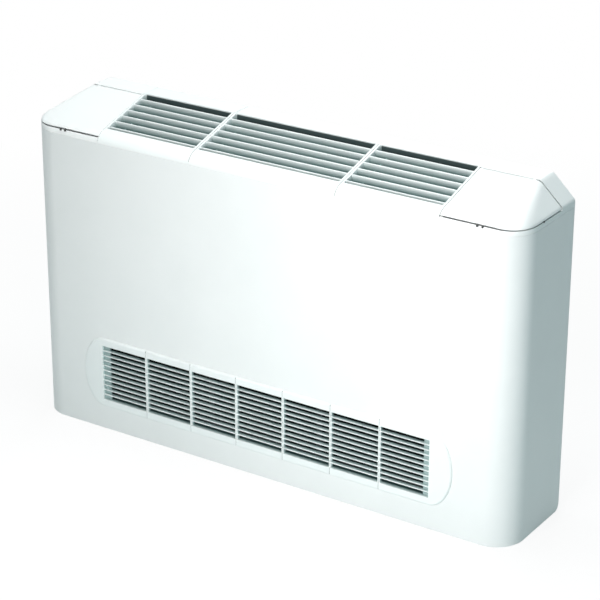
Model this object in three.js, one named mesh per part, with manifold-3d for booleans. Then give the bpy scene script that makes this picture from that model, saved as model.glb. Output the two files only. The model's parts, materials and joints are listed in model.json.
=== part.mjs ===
// A slim floor standing fan-coil unit: a painted steel cabinet with a moulded head, a low
// front intake grille and a top outlet grille, with its fans, heat exchanger and controls inside.
// Millimetres, +X to the right, +Y to the back, +Z up.
// The origin is the middle of the whole object's footprint, on the floor.

import * as THREE from 'three';
import { mergeVertices } from 'three/addons/utils/BufferGeometryUtils.js';
import Module from 'manifold-3d';

const wasm = await Module();
wasm.setup();

// ---------------------------------------------------------------- driving dimensions

const WIDTH = 926;              // over the cabinet's sides
const HEIGHT = 570;             // floor to the head's top
const DEPTH = 171;              // wall side to front panel
const CORNER_RADIUS = 50;       // front vertical corners, in plan
const MODULE = 91.7;            // one unit of both grilles
const GAP = 0.3;                // between pieces that touch

const SHEET = 1.5;              // painted steel
const PLATE = 1.5;              // galvanised steel inside
const FLANGE = 16;              // cabinet's return at the back
const HEEL_RADIUS = 13;         // lower rear corner of each side, in side view

const HEAD_HEIGHT = 49;         // moulded head above the cabinet
const HEAD_WALL = 2.5;
const SLOPE = 15.4;             // degrees, the outlet slope
const SLOPE_RUN = 131.5;        // front panel to the flat band along the back
const NOSE_RADIUS = 26;
const END_RUN = 39;             // end slope, across
const END_DROP = 37;            // end slope, down
const END_CREASE = 9;           // fillet between end slope and side
const RIM = 9;                  // fixed rim below each lid
const SKIRT = 12;               // head's spigot inside the cabinet
const SKIRT_WALL = 2.2;

const OUTLET_RAIL = 7;          // solid border of an outlet module at its ends
const OUTLET_FRONT = 22.9;      // front panel to the outlet's front edge
const OUTLET_DEPTH = 109.1;     // outlet opening, front to back
const OUTLET_WALL = 3;
const OUTLET_DROP = 26;         // depth of the outlet frame under its surface
const BLADES = 6;
const BLADE_FIRST = 7.7;        // outlet's front edge to the first blade
const BLADE_PITCH = 17.3;
const BLADE_THICK = 2.4;
const BLADE_HEIGHT = 22;
const BLADE_LEAN = 6;           // degrees, tops towards the room

const BEAD = 2.5;               // radius of the lid's hinge bead
const ROD = 1;                  // radius of the lid's hinge rod
const LUG = 4;                  // width of a hinge lug
const LID_RUN = 126.5;          // front panel to the lids' hinge axis

const INTAKE_LOW = 44.7;        // floor to the intake frame
const INTAKE_HEIGHT = 126.6;
const INTAKE_END = 40;          // half-ellipse beyond the outer modules
const INTAKE_PROUD = 4.5;       // frame in front of the panel
const INTAKE_BEVEL = 1.2;
const INTAKE_BAND = 13;         // frame above and below the slots
const INTAKE_WALL = 2.5;
const INTAKE_SPIGOT = 12;       // depth of the frame behind the panel's face
const INTAKE_PLAY = 2.6;        // spigot to the panel's opening
const SLOTS = 11;
const SLOT_BLADE = 2.1;
const SLOT_BLADE_DEPTH = 10.5;
const PIVOT = 2.5;              // intake grille's pivot inside its lower edge
const PIVOT_BEAD = 1.7;         // radius
const PIVOT_PIN = 0.8;          // radius
const PIVOT_RELIEF = 0.6;       // keeps the lower lip off the panel as the grille tilts
const PIVOT_FACE = 0.7;         // frame's skin in front of each clip
const CLIP_WIDTH = 12;
const CLIP_THICK = 1.6;

const FILTER_THICK = 5;
const FILTER_BORDER = 9;
const FILTER_ROOM = 6;          // filter to the chassis, for lifting it out

const PAN_LIP = 16;
const PANEL_FOOT = 4;           // rear panel's lower edge above the heels
const PIPE_WINDOW = 70;         // square window for the pipes, by the left end
const CABLE_WINDOW = 34;        // square window for the cable, by the right end
const WINDOW_IN = 40;           // each window's outer edge from the rear panel's end
const PIPE_WINDOW_LOW = 60;
const CABLE_WINDOW_LOW = 70;
const SCREW = 1.7;              // radius
const SCREW_IN = 12;            // screws from the rear panel's lower edge
const SIDE_PLATE_OUT = 4;       // chassis side plates outside the grille modules
const SIDE_FLANGE = 14;         // side plates' feet and back flanges
const DECK_LEVEL = 206;
const FAN_AXIS_BACK = 78;       // wall side to the fans' axis
const FAN_AXIS_LEVEL = 108;
const WHEEL_RADIUS = 50;
const WHEEL_WIDTH = 150;
const WHEEL_BLADES = 18;
const WHEEL_BLADE_WIDTH = 7.5;
const WHEEL_BLADE_THICK = 1.2;
const WHEEL_RING = 9;           // width of the end rings
const WHEEL_PLATE = 3;          // thickness of the rings and of the middle disc
const WHEEL_HUB = 10;           // radius
const SHAFT = 4;                // radius
const SCROLL_START = 55;        // housing radius at its tongue
const SCROLL_END = 68;          // housing radius at its outlet
const HOUSING_WALL = 2;
const HOUSING_WIDTH = 166;
const INLET_RADIUS = 42;
const MOTOR_RADIUS = 44;
const MOTOR_LENGTH = 92;
const MOTOR_TO_FAN = 34;        // motor's end to the fan housing
const MOTOR_HUB = 17;           // radius
const MOTOR_HUB_LENGTH = 12;
const MOTOR_RING = 7;           // thickness of the rubber ring round each motor hub
const YOKE = 2;                 // thickness
const YOKE_FLANGE = 12;
const YOKE_EDGE = 5;            // sheet round the rubber ring

const COIL_LEAN = 26;           // degrees from upright, top to the back
const COIL_THICK = 44;
const COIL_HEIGHT = 200;
const COIL_LEVEL = 332;         // middle of the coil
const COIL_BACK = 80;           // wall side to the coil's middle
const COIL_ROWS = 4;
const COIL_PITCH = 44;
const TUBE = 4.8;               // radius
const FIN_TEETH = 26;
const FIN_DEPTH = 13;
const HEADER = 10;              // radius
const TUBE_ROWS = 22;           // between the two rows of tubes
const HEADER_OUT = 18;          // chassis side to the headers' axes
const HEADER_SPREAD = 1.65;     // headers' axes outside the rows of tubes
const TRAY_WIDTH = 66;
const TRAY_HEIGHT = 22;
const TRAY_WALL = 2;
const TRAY_SHIFT = 10.1;        // tray's middle behind the coil's foot
const SPOUT = 6;                // radius
const SPOUT_LENGTH = 42;
const SPOUT_LEVEL = 9;          // spout's axis above the tray's underside

const PANEL_WIDTH = 86;
const PANEL_LENGTH = 66;
const PANEL_THICK = 2.5;
const KNOB_RADIUS = 13;
const KNOB_HEIGHT = 9;
const KNOB_ROOM = 15;           // lid's inner skin to the panel's seat
const BUTTON_RADIUS = 6;
const KNOB_OUT = 26;            // knobs' axes from the panel's middle
const STEM = 3;                 // radius
const STEM_DEPTH = 10;
const BUTTON_PROUD = 3.5;
const BUTTON_TRAVEL = 2;
const BUTTON_FLANGE = 1.2;
const BUTTON_RIM = 1.5;
const SWITCH_WIDTH = 72;
const SWITCH_LENGTH = 26;
const SWITCH_DEPTH = 14;

const BOX_DEPTH = 44;           // electrical box, out from the chassis side
const BOX_LENGTH = 74;
const BOX_HEIGHT = 120;
const BOX_LOW = 70;
const BOX_FRONT = 39.25;        // front panel to the electrical box
const BOX_WALL = 2;
const GLAND = 7;                // radius of the cable gland's thread
const VENT_RADIUS = 6;
const VENT_BODY = 14;
const VENT_KNOB = 8;            // radius

// ---------------------------------------------------------------- derived places

const rad = THREE.MathUtils.degToRad;
const backY = (DEPTH + INTAKE_PROUD) / 2;
const frontY = backY - DEPTH;
const halfW = WIDTH / 2;
const cabinetTop = HEIGHT - HEAD_HEIGHT;
const seamX = 3.5 * MODULE;
const shelfY = frontY + SLOPE_RUN;
const hingeY = frontY + LID_RUN;
const hingeZ = slopeLevel(hingeY) - BEAD / Math.cos(rad(SLOPE)) - 0.2;
const lidLow = cabinetTop + RIM;
const insideX = halfW - SHEET - GAP;
const insideFront = frontY + SHEET + GAP;
const panelY = backY - PLATE;
const FAR = 2000;
const ARC = 8;                  // steps in a quarter turn

// ---------------------------------------------------------------- solids

function solid(geometry) {
  const bare = geometry.index ? geometry.toNonIndexed() : geometry.clone();
  bare.deleteAttribute('normal');
  bare.deleteAttribute('uv');
  const merged = mergeVertices(bare, 1e-4);
  return new wasm.Manifold(new wasm.Mesh({
    numProp: 3,
    vertProperties: new Float32Array(merged.attributes.position.array),
    triVerts: new Uint32Array(merged.index.array),
  }));
}

function box(x0, x1, y0, y1, z0, z1) {
  const geometry = new THREE.BoxGeometry(x1 - x0, y1 - y0, z1 - z0);
  return solid(geometry.translate((x0 + x1) / 2, (y0 + y1) / 2, (z0 + z1) / 2));
}

function outline(points) {
  return new THREE.Shape(points.map(([a, b]) => new THREE.Vector2(a, b)));
}

function extruded(shape, length) {
  return new THREE.ExtrudeGeometry(shape, { depth: length, bevelEnabled: false });
}

// Turns an outline's (x, y) and its depth into (y, z) and x.
const layAlongX = new THREE.Matrix4().makeBasis(
  new THREE.Vector3(0, 1, 0), new THREE.Vector3(0, 0, 1), new THREE.Vector3(1, 0, 0));

// A prism along X of an outline drawn in (y, z), in the frame `place` if one is given.
function alongX(points, x0, x1, place = new THREE.Matrix4()) {
  const geometry = extruded(outline(points), x1 - x0).applyMatrix4(layAlongX);
  return solid(geometry.translate(x0, 0, 0).applyMatrix4(place));
}

// A prism along Y of an outline drawn in (x, z).
function alongY(points, y0, y1) {
  const geometry = extruded(outline(points), y1 - y0);
  return solid(geometry.rotateX(Math.PI / 2).translate(0, y1, 0));
}

// A prism along Z of an outline drawn in (x, y), in the frame `place` if one is given.
function alongZ(points, z0, z1, place = new THREE.Matrix4()) {
  return solid(extruded(outline(points), z1 - z0).translate(0, 0, z0).applyMatrix4(place));
}

function circle(radius, a = 0, b = 0, sides = 20) {
  return Array.from({ length: sides }, (_, i) => {
    const angle = (i / sides) * 2 * Math.PI;
    return [a + radius * Math.cos(angle), b + radius * Math.sin(angle)];
  });
}

function arc(radius, a, b, from, to, steps) {
  return Array.from({ length: steps + 1 }, (_, i) => {
    const angle = rad(from + ((to - from) * i) / steps);
    return [a + radius * Math.cos(angle), b + radius * Math.sin(angle)];
  });
}

function union(solids) {
  return solids.reduce((all, one) => all.add(one));
}

// ---------------------------------------------------------------- materials

function finish(color, roughness, metalness = 0) {
  return { color, roughness, metalness };
}

const finishes = {
  paint: finish(0xf4f6f5, 0.35),
  moulding: finish(0xf7f8f7, 0.4),
  galvanised: finish(0xb4b9bb, 0.45, 0.8),
  aluminium: finish(0xc9cdce, 0.35, 0.9),
  copper: finish(0xb87348, 0.3, 0.95),
  brass: finish(0xb79a58, 0.35, 0.9),
  steel: finish(0x9a9ea1, 0.3, 0.9),
  blackPlastic: finish(0x1f2224, 0.5),
  greyPlastic: finish(0x5c6265, 0.5),
  rubber: finish(0x17181a, 0.8),
  filterMesh: finish(0x2d3236, 0.85),
  greenPlastic: finish(0x3f8f4a, 0.2),
};

const unit = new THREE.Group();

function addNode(name, body, surface, parent = unit) {
  const mesh = body.getMesh();
  const geometry = new THREE.BufferGeometry();
  geometry.setAttribute('position', new THREE.BufferAttribute(new Float32Array(mesh.vertProperties), 3));
  geometry.setIndex(new THREE.BufferAttribute(new Uint32Array(mesh.triVerts), 1));
  const faceted = geometry.toNonIndexed();
  faceted.computeVertexNormals();
  const piece = new THREE.Mesh(faceted, new THREE.MeshStandardMaterial(surface));
  piece.name = name;
  parent.add(piece);
  return piece;
}

const sides = [
  { name: 'left', s: -1 },
  { name: 'right', s: 1 },
];

// A box given by its distances from the middle plane, on side s.
function sideBox(s, near, far, y0, y1, z0, z1) {
  return s > 0 ? box(near, far, y0, y1, z0, z1) : box(-far, -near, y0, y1, z0, z1);
}

function sidePrism(s, points, near, far) {
  return s > 0 ? alongX(points, near, far) : alongX(points, -far, -near);
}

// ---------------------------------------------------------------- the head's surface

function smoothMin(a, b, blend) {
  const share = Math.max(blend - Math.abs(a - b), 0) / blend;
  return Math.min(a, b) - (share * share * blend) / 4;
}

// Height at a distance d inside an upright face, for a slope that leaves the face at height
// `edge` and rises at `angle`, with their corner rounded to `radius`. `inset` moves the whole
// line inwards by a wall, about the same centre.
function roundedEdge(d, edge, angle, radius, inset) {
  const centre = edge + radius * Math.tan(angle) - radius / Math.cos(angle);
  const small = radius - inset;
  const across = d - small;
  if (d < small * (1 - Math.sin(angle))) {
    return centre + Math.sqrt(Math.max(small * small - across * across, 0));
  }
  return centre + across * Math.tan(angle) + small / Math.cos(angle);
}

function slopeLevel(y) {
  return HEIGHT - (shelfY - y) * Math.tan(rad(SLOPE));
}

function headLevel(x, y, inset) {
  const endAngle = Math.atan2(END_DROP, END_RUN);
  const front = roundedEdge(y - frontY - inset, slopeLevel(frontY), rad(SLOPE), NOSE_RADIUS, inset);
  const end = roundedEdge(halfW - inset - Math.abs(x), HEIGHT - END_DROP, endAngle, END_CREASE, inset);
  const towardsFront = THREE.MathUtils.clamp((shelfY - y) / (shelfY - frontY), 0, 1);
  return smoothMin(smoothMin(HEIGHT - inset, front, 0.4), end, 4 + 8 * towardsFront);
}

// Half of the plan outline, from the middle of the front round the right corner to the back.
function planCorner(inset) {
  return arc(CORNER_RADIUS - inset, halfW - CORNER_RADIUS, frontY + CORNER_RADIUS, -90, 0, ARC);
}

function planOutline(inset, back) {
  const right = planCorner(inset);
  const left = right.map(([x, y]) => [-x, y]).reverse();
  return [...right, [halfW - inset, back], [-(halfW - inset), back], ...left];
}

// The whole head as one closed solid under the surface, `inset` inside the outer skin.
function headSolid(inset) {
  const low = cabinetTop - 2 * SKIRT - inset;
  const flat = [12, 24, 40].map((away) => [halfW - CORNER_RADIUS - away, frontY + inset]).reverse();
  const right = [...flat, ...planCorner(inset)];
  const columns = [...right.map(([x, y]) => [-x, y]).reverse(), ...right];
  const nose = arc(NOSE_RADIUS, frontY + NOSE_RADIUS, 0, 180, 90 + SLOPE, 6).map(([y]) => y);
  const slope = [0.25, 0.5, 0.75].map((t) => THREE.MathUtils.lerp(nose.at(-1), shelfY, t));
  const levels = [...nose, ...slope, shelfY - 1.5, shelfY + 1.5, backY];
  const shares = levels.map((y) => (y - frontY) / DEPTH);
  const across = shares.length;
  const positions = [];
  const layers = [(x, y) => headLevel(x, y, inset), () => low];
  for (const level of layers) {
    for (const [x, start] of columns) {
      for (const share of shares) {
        const y = THREE.MathUtils.lerp(start, backY - inset, share);
        positions.push(x, y, level(x, y));
      }
    }
  }
  const indices = [];
  const quad = (a, b, c, d) => indices.push(a, b, c, a, c, d);
  const under = columns.length * across;
  const last = across - 1;
  for (let i = 0; i + 1 < columns.length; i += 1) {
    const here = i * across;
    const next = here + across;
    for (let j = 0; j < last; j += 1) {
      quad(here + j, next + j, next + j + 1, here + j + 1);
      quad(under + here + j, under + here + j + 1, under + next + j + 1, under + next + j);
    }
    quad(here, under + here, under + next, next);
    quad(here + last, next + last, under + next + last, under + here + last);
  }
  const lastColumn = (columns.length - 1) * across;
  for (let j = 0; j < last; j += 1) {
    quad(j, j + 1, under + j + 1, under + j);
    const k = lastColumn + j;
    quad(k, under + k, under + k + 1, k + 1);
  }
  const geometry = new THREE.BufferGeometry();
  geometry.setAttribute('position', new THREE.BufferAttribute(new Float32Array(positions), 3));
  geometry.setIndex(indices);
  return solid(geometry);
}

const headOuter = headSolid(0);
const headShell = headOuter.subtract(headSolid(HEAD_WALL));
const headFloor = cabinetTop + GAP;

function skirtRing(back) {
  const outside = SHEET + GAP;
  const ring = alongZ(planOutline(outside, back), cabinetTop - SKIRT, headFloor + 1.1);
  return ring.subtract(alongZ(planOutline(outside + SKIRT_WALL, FAR), 0, FAR));
}

const skirt = skirtRing(backY - FLANGE - SHEET);

// ---------------------------------------------------------------- cabinet

const intakeTop = INTAKE_LOW + INTAKE_HEIGHT;
const slotsLow = INTAKE_LOW + INTAKE_BAND;
const slotsTop = intakeTop - INTAKE_BAND;
const spigotLow = slotsLow - INTAKE_WALL;
const spigotTop = slotsTop + INTAKE_WALL;
const spigotX = seamX + INTAKE_WALL;

function cabinetShell() {
  const flangeY = panelY - GAP;
  const wall = alongZ(planOutline(0, backY), 0, cabinetTop)
    .subtract(alongZ(planOutline(SHEET, FAR), -1, FAR));
  const flanges = sides.map(({ s }) =>
    sideBox(s, halfW - FLANGE, halfW - SHEET / 2, flangeY - SHEET, flangeY, 0, cabinetTop));
  const heel = box(-FAR, FAR, backY - HEEL_RADIUS, FAR, -1, HEEL_RADIUS)
    .subtract(alongX(circle(HEEL_RADIUS, backY - HEEL_RADIUS, HEEL_RADIUS, 4 * ARC), -FAR, FAR));
  const opening = box(
    -spigotX - INTAKE_PLAY, spigotX + INTAKE_PLAY, frontY - 1, frontY + SHEET + 1,
    spigotLow - INTAKE_PLAY, spigotTop + INTAKE_PLAY);
  return union([wall, ...flanges]).subtract(heel).subtract(opening);
}

addNode('cabinet_shell', cabinetShell(), finishes.paint);

const panelLow = HEEL_RADIUS + PANEL_FOOT;
const screwX = [-1, 0, 1].map((side) => side * (halfW - FLANGE / 2 - 1));
const screwZ = [panelLow + SCREW_IN, cabinetTop - SCREW_IN - 2];

function rearPanel() {
  const reach = insideX - GAP;
  const edge = reach - WINDOW_IN;
  const plateSolid = box(-reach, reach, panelY, backY, panelLow, cabinetTop);
  const pipeWindow = box(-edge, -edge + PIPE_WINDOW, panelY - 1, FAR,
    PIPE_WINDOW_LOW, PIPE_WINDOW_LOW + PIPE_WINDOW);
  const cableWindow = box(edge - CABLE_WINDOW, edge, panelY - 1, FAR,
    CABLE_WINDOW_LOW, CABLE_WINDOW_LOW + CABLE_WINDOW);
  let plate = plateSolid.subtract(pipeWindow).subtract(cableWindow);
  for (const x of screwX) {
    for (const z of screwZ) {
      plate = plate.subtract(alongY(circle(SCREW + GAP, x, z, 12), panelY - 1, FAR));
    }
  }
  return plate;
}

addNode('rear_panel', rearPanel(), finishes.galvanised);

const panBack = backY - HEEL_RADIUS - 3;

function basePan() {
  const tray = alongZ(planOutline(SHEET + GAP, panBack), 0, PAN_LIP);
  return tray.subtract(alongZ(planOutline(SHEET + GAP + PLATE, panBack - PLATE), PLATE, FAR));
}

addNode('base_pan', basePan(), finishes.galvanised);

// ---------------------------------------------------------------- head: end caps and lids

const outletFront = frontY + OUTLET_FRONT;
const outletBack = outletFront + OUTLET_DEPTH;
const pedestalDrop = (HEAD_WALL + KNOB_ROOM) / Math.cos(rad(SLOPE));
const pedestalX = (seamX + halfW - END_RUN) / 2;
const panelMidY = hingeY - LUG - 12 - PANEL_LENGTH / 2;
const outerLugX = halfW - END_RUN - 3 * LUG;

function lugAt(s, near) {
  const arm = sideBox(s, near, near + LUG, hingeY, hingeY + 2 * LUG, hingeZ - BEAD, hingeZ + BEAD - GAP);
  return arm.add(sidePrism(s, circle(BEAD - GAP, hingeY, hingeZ, 20), near, near + LUG));
}

const seamLugX = seamX + GAP / 2;

function endCap(s) {
  const span = sideBox(s, seamX + GAP / 2, FAR, -FAR, FAR, headFloor, FAR);
  const lidSpace = sideBox(s, 0, FAR, -FAR, hingeY + BEAD + GAP, lidLow - GAP, FAR);
  const rim = headShell.intersect(span).subtract(lidSpace);
  const skirtPart = skirt.intersect(sideBox(s, seamX + GAP / 2, FAR, -FAR, FAR, 0, FAR));
  const deck = alongZ(planOutline(HEAD_WALL - 0.2, backY - HEAD_WALL / 2), headFloor, headFloor + HEAD_WALL)
    .intersect(sideBox(s, seamX + GAP / 2, FAR, -FAR, FAR, 0, FAR));
  const partition = headSolid(HEAD_WALL + 2 * GAP)
    .intersect(sideBox(s, seamX + GAP / 2, seamX + GAP / 2 + HEAD_WALL, -FAR, FAR, headFloor, FAR));
  const lugs = [lugAt(s, seamLugX), lugAt(s, outerLugX)];
  const bodies = [rim, skirtPart, deck, partition, ...lugs];
  const bore = sidePrism(s, circle(ROD + GAP, hingeY, hingeZ, 12), seamX - 1, outerLugX + LUG + 1);
  return union(bodies).subtract(bore);
}

// A block under the control panel's seat, its top parallel to the outlet slope and its sides
// `wall` inside the seat's outline.
function pedestal(wall, low, lift) {
  const y0 = panelMidY - PANEL_LENGTH / 2 - 1 + wall;
  const y1 = panelMidY + PANEL_LENGTH / 2 + 1 - wall;
  const points = [
    [y0, low], [y1, low],
    [y1, slopeLevel(y1) - pedestalDrop + lift], [y0, slopeLevel(y0) - pedestalDrop + lift],
  ];
  const reach = PANEL_WIDTH / 2 + 1 - wall;
  return alongX(points, pedestalX - reach, pedestalX + reach);
}

function endCapRight() {
  const seat = pedestal(0, headFloor + HEAD_WALL / 2, 0);
  const hollow = pedestal(2 * HEAD_WALL, headFloor - 4 * HEAD_WALL, 1);
  return endCap(1).add(seat).subtract(hollow);
}

function endCapLeft() {
  const windowY = [frontY + 2 * NOSE_RADIUS, hingeY - 14];
  const window = box(-halfW + CORNER_RADIUS, -seamX - 12, ...windowY, 0, headFloor + 2 * HEAD_WALL);
  return endCap(-1).subtract(window.intersect(box(-FAR, 0, -FAR, FAR, headFloor - 1, FAR)));
}

addNode('end_cap_left', endCapLeft(), finishes.moulding);
addNode('end_cap_right', endCapRight(), finishes.moulding);

function lid(s) {
  const region = sideBox(s, seamX + GAP, FAR, -FAR, hingeY, lidLow, FAR)
    .add(sideBox(s, outerLugX, FAR, -FAR, hingeY + BEAD, lidLow, hingeZ - BEAD));
  const beadNear = seamLugX + LUG + GAP;
  const beadFar = outerLugX - GAP;
  const bead = sidePrism(s, circle(BEAD, hingeY, hingeZ, 20), beadNear, beadFar);
  const bore = sidePrism(s, circle(ROD + GAP, hingeY, hingeZ, 12), beadNear - 1, beadFar + 1);
  const notches = [seamLugX, outerLugX].map((near) =>
    sideBox(s, near - GAP, near + LUG + GAP, hingeY - BEAD - 2 * GAP, FAR, hingeZ - 2 * BEAD, FAR));
  return headShell.intersect(region).add(bead).subtract(union([bore, ...notches]));
}

for (const { name, s } of sides) {
  addNode(`lid_${name}`, lid(s), finishes.moulding);
  const rod = sidePrism(s, circle(ROD, hingeY, hingeZ, 12), seamLugX + 1, outerLugX + LUG);
  addNode(`lid_rod_${name}`, rod, finishes.steel);
}

// ---------------------------------------------------------------- outlet grilles

function outletBlade(index, x0, x1) {
  const y = outletFront + BLADE_FIRST + index * BLADE_PITCH;
  const z = slopeLevel(y) - 0.8;
  const drift = BLADE_HEIGHT * Math.tan(rad(BLADE_LEAN));
  const half = BLADE_THICK / 2;
  return alongX([
    [y - half + drift, z - BLADE_HEIGHT], [y + half + drift, z - BLADE_HEIGHT],
    [y + half, z - half], [y, z], [y - half, z - half],
  ], x0, x1);
}

function outletGrille(x0, x1, ribX) {
  const near = x0 + GAP / 2;
  const far = x1 - GAP / 2;
  const band = box(near, far, -FAR, FAR, headFloor, FAR);
  const frame = alongX([
    [outletFront - OUTLET_WALL, slopeLevel(outletFront) - OUTLET_DROP],
    [outletBack + OUTLET_WALL, slopeLevel(outletBack) - OUTLET_DROP],
    [outletBack + OUTLET_WALL, HEIGHT + 1], [outletFront - OUTLET_WALL, HEIGHT + 1],
  ], near, far).intersect(headOuter);
  const opening = box(near + OUTLET_RAIL, far - OUTLET_RAIL, outletFront, outletBack, 0, FAR);
  const lip = skirt.intersect(box(near, far, -FAR, 0, 0, FAR));
  const blades = Array.from({ length: BLADES }, (_, i) =>
    outletBlade(i, near + OUTLET_RAIL - 1, far - OUTLET_RAIL + 1));
  const rib = alongX([
    [outletFront - 1, slopeLevel(outletFront) - OUTLET_DROP + 1],
    [outletBack + 1, slopeLevel(outletBack) - OUTLET_DROP + 1],
    [outletBack + 1, slopeLevel(outletBack) - 7], [outletFront - 1, slopeLevel(outletFront) - 7],
  ], ribX - 1, ribX + 1);
  return union([headShell.intersect(band), frame, lip]).subtract(opening).add(union([...blades, rib]));
}

const RIB_IN = 20;              // opening's left edge to the rib under the blades
const outlets = [
  ['left', -3.5, -1.5],
  ['middle', -1.5, 1.5],
  ['right', 1.5, 3.5],
];
for (const [name, from, to] of outlets) {
  const start = from * MODULE;
  const ribX = start + OUTLET_RAIL + RIB_IN;
  addNode(`outlet_grille_${name}`, outletGrille(start, to * MODULE, ribX), finishes.moulding);
}

// ---------------------------------------------------------------- intake grille

function intakeOutline(shrink) {
  const tall = INTAKE_HEIGHT / 2 - shrink;
  const wide = INTAKE_END - shrink;
  const middle = INTAKE_LOW + INTAKE_HEIGHT / 2;
  const half = (s) => Array.from({ length: 2 * ARC + 1 }, (_, i) => {
    const angle = rad(-90 + (180 * i) / (2 * ARC));
    return [s * (seamX + wide * Math.cos(angle)), middle + s * tall * Math.sin(angle)];
  });
  return [...half(1), ...half(-1)];
}

const intakeFace = frontY - INTAKE_PROUD;
const intakeFlange = union([
  alongY(intakeOutline(0), intakeFace + INTAKE_BEVEL, frontY - GAP),
  alongY(intakeOutline(INTAKE_BEVEL), intakeFace, intakeFace + INTAKE_BEVEL + 0.5),
]);
const slotPitch = (slotsTop - slotsLow) / SLOTS;
const pivotY = intakeFace + PIVOT;
const pivotZ = INTAKE_LOW + PIVOT;
const clipX = [-2, 2].map((share) => share * MODULE);

// The pivot runs inside the lower edge of the frame: a rounded bead, thinned to a pin in each clip.
function pivotEdge(near, far) {
  const pin = alongX(circle(PIVOT_PIN, pivotY, pivotZ, 12), near, far);
  const pockets = clipX.map((x) =>
    box(x - CLIP_WIDTH / 2 - GAP, x + CLIP_WIDTH / 2 + GAP, intakeFace + PIVOT_FACE, FAR, 0, spigotLow));
  const bead = alongX(circle(PIVOT_BEAD, pivotY, pivotZ, 16), near, far);
  return { bead, pin, pockets: union(pockets) };
}

function slotBlade(index, x0, x1) {
  const z = slotsLow + slotPitch * (index + 1);
  const face = intakeFace + 1;
  const half = SLOT_BLADE / 2;
  return alongX([
    [face + half, z - half], [face + SLOT_BLADE_DEPTH, z - half],
    [face + SLOT_BLADE_DEPTH, z + half], [face + half, z + half], [face, z],
  ], x0, x1);
}

function intakeModule(index) {
  const from = (index - 3.5) * MODULE;
  const near = from + GAP / 2;
  const far = from + MODULE - GAP / 2;
  const first = index === 0;
  const last = index === 6;
  const reachNear = first ? -FAR : near;
  const reachFar = last ? FAR : far;
  const flange = intakeFlange.intersect(box(reachNear, reachFar, -FAR, FAR, 0, FAR));
  const tube = box(
    first ? -spigotX : near, last ? spigotX : far,
    frontY - GAP - 0.5, frontY + INTAKE_SPIGOT, spigotLow, spigotTop);
  const cavity = box(
    near + (first ? 0 : INTAKE_WALL), far - (last ? 0 : INTAKE_WALL), -FAR, FAR, slotsLow, slotsTop);
  const blades = Array.from({ length: SLOTS - 1 }, (_, i) => slotBlade(i, near + 0.5, far - 0.5));
  const pivot = pivotEdge(Math.max(near, -seamX), Math.min(far, seamX));
  const under = box(-FAR, FAR, pivotY - PIVOT_RELIEF, FAR, 0, pivotZ);
  const edge = flange.subtract(under).add(pivot.bead).subtract(pivot.pockets).add(pivot.pin);
  return edge.add(tube).subtract(cavity).add(union(blades));
}

for (let index = 0; index < 7; index += 1) {
  addNode(`intake_grille_${index + 1}`, intakeModule(index), finishes.moulding);
}

// A clip hooks over the lower edge of the panel's opening and holds the pivot pin in its eye.
function intakeClip(x) {
  const near = x - CLIP_WIDTH / 2;
  const far = x + CLIP_WIDTH / 2;
  const eye = alongX(circle(2 * PIVOT_PIN, pivotY, pivotZ, 16), near, far);
  const top = spigotLow - 2 * GAP;
  const inner = insideFront + CLIP_THICK;
  const neck = box(near, far, pivotY - 0.6, pivotY + 1, pivotZ, top);
  const bridge = box(near, far, pivotY - 0.6, inner, top - CLIP_THICK, top);
  const leg = box(near, far, insideFront, inner, INTAKE_LOW - 6, top);
  const bore = alongX(circle(PIVOT_PIN + GAP, pivotY, pivotZ, 12), -FAR, FAR);
  return union([eye, neck, bridge, leg]).subtract(bore);
}

for (const { name, s } of sides) {
  addNode(`intake_clip_${name}`, intakeClip(clipX[s < 0 ? 0 : 1]), finishes.steel);
}

const filterFront = frontY + INTAKE_SPIGOT + GAP;
const filterBack = filterFront + FILTER_THICK;
const filterX = spigotX;

function filterFrame() {
  const outer = box(-filterX, filterX, filterFront, filterBack, spigotLow, spigotTop);
  const edge = FILTER_BORDER;
  const bays = [-1, 0, 1].map((bay) => {
    const middle = (bay * 2 * (filterX - edge / 2)) / 3;
    const reach = (filterX - edge / 2) / 3 - edge / 2;
    return box(middle - reach, middle + reach, -FAR, FAR, spigotLow + edge, spigotTop - edge);
  });
  const groove = box(
    -filterX + edge / 2, filterX - edge / 2, filterFront + 1.5, filterFront + 3.5,
    spigotLow + edge / 2, FAR);
  return outer.subtract(union(bays)).subtract(groove);
}

addNode('filter_frame', filterFrame(), finishes.greyPlastic);
addNode('filter_mesh', box(
  -filterX + FILTER_BORDER / 2 + GAP, filterX - FILTER_BORDER / 2 - GAP,
  filterFront + 1.5 + GAP, filterFront + 3.5 - GAP,
  spigotLow + FILTER_BORDER / 2 + GAP, spigotTop - GAP), finishes.filterMesh);

// ---------------------------------------------------------------- chassis

const sidePlateX = seamX + SIDE_PLATE_OUT;
const chassisFront = filterBack + FILTER_ROOM;
const chassisBack = panelY - GAP;
const coilY = backY - COIL_BACK;
const coilTurn = new THREE.Matrix4().makeRotationX(rad(-COIL_LEAN))
  .setPosition(0, coilY, COIL_LEVEL);

function rectangle(y0, y1, z0, z1) {
  return [[y0, z0], [y1, z0], [y1, z1], [y0, z1]];
}

const coilHalf = { thick: COIL_THICK / 2, tall: COIL_HEIGHT / 2 };
const sidePlateTop = cabinetTop - SKIRT - OUTLET_DROP;
const deckTop = DECK_LEVEL + PLATE;
const trayLow = deckTop + GAP;
const trayMidY = coilY - coilHalf.tall * Math.sin(rad(COIL_LEAN)) + TRAY_SHIFT;
const spoutZ = trayLow + SPOUT_LEVEL;

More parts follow.
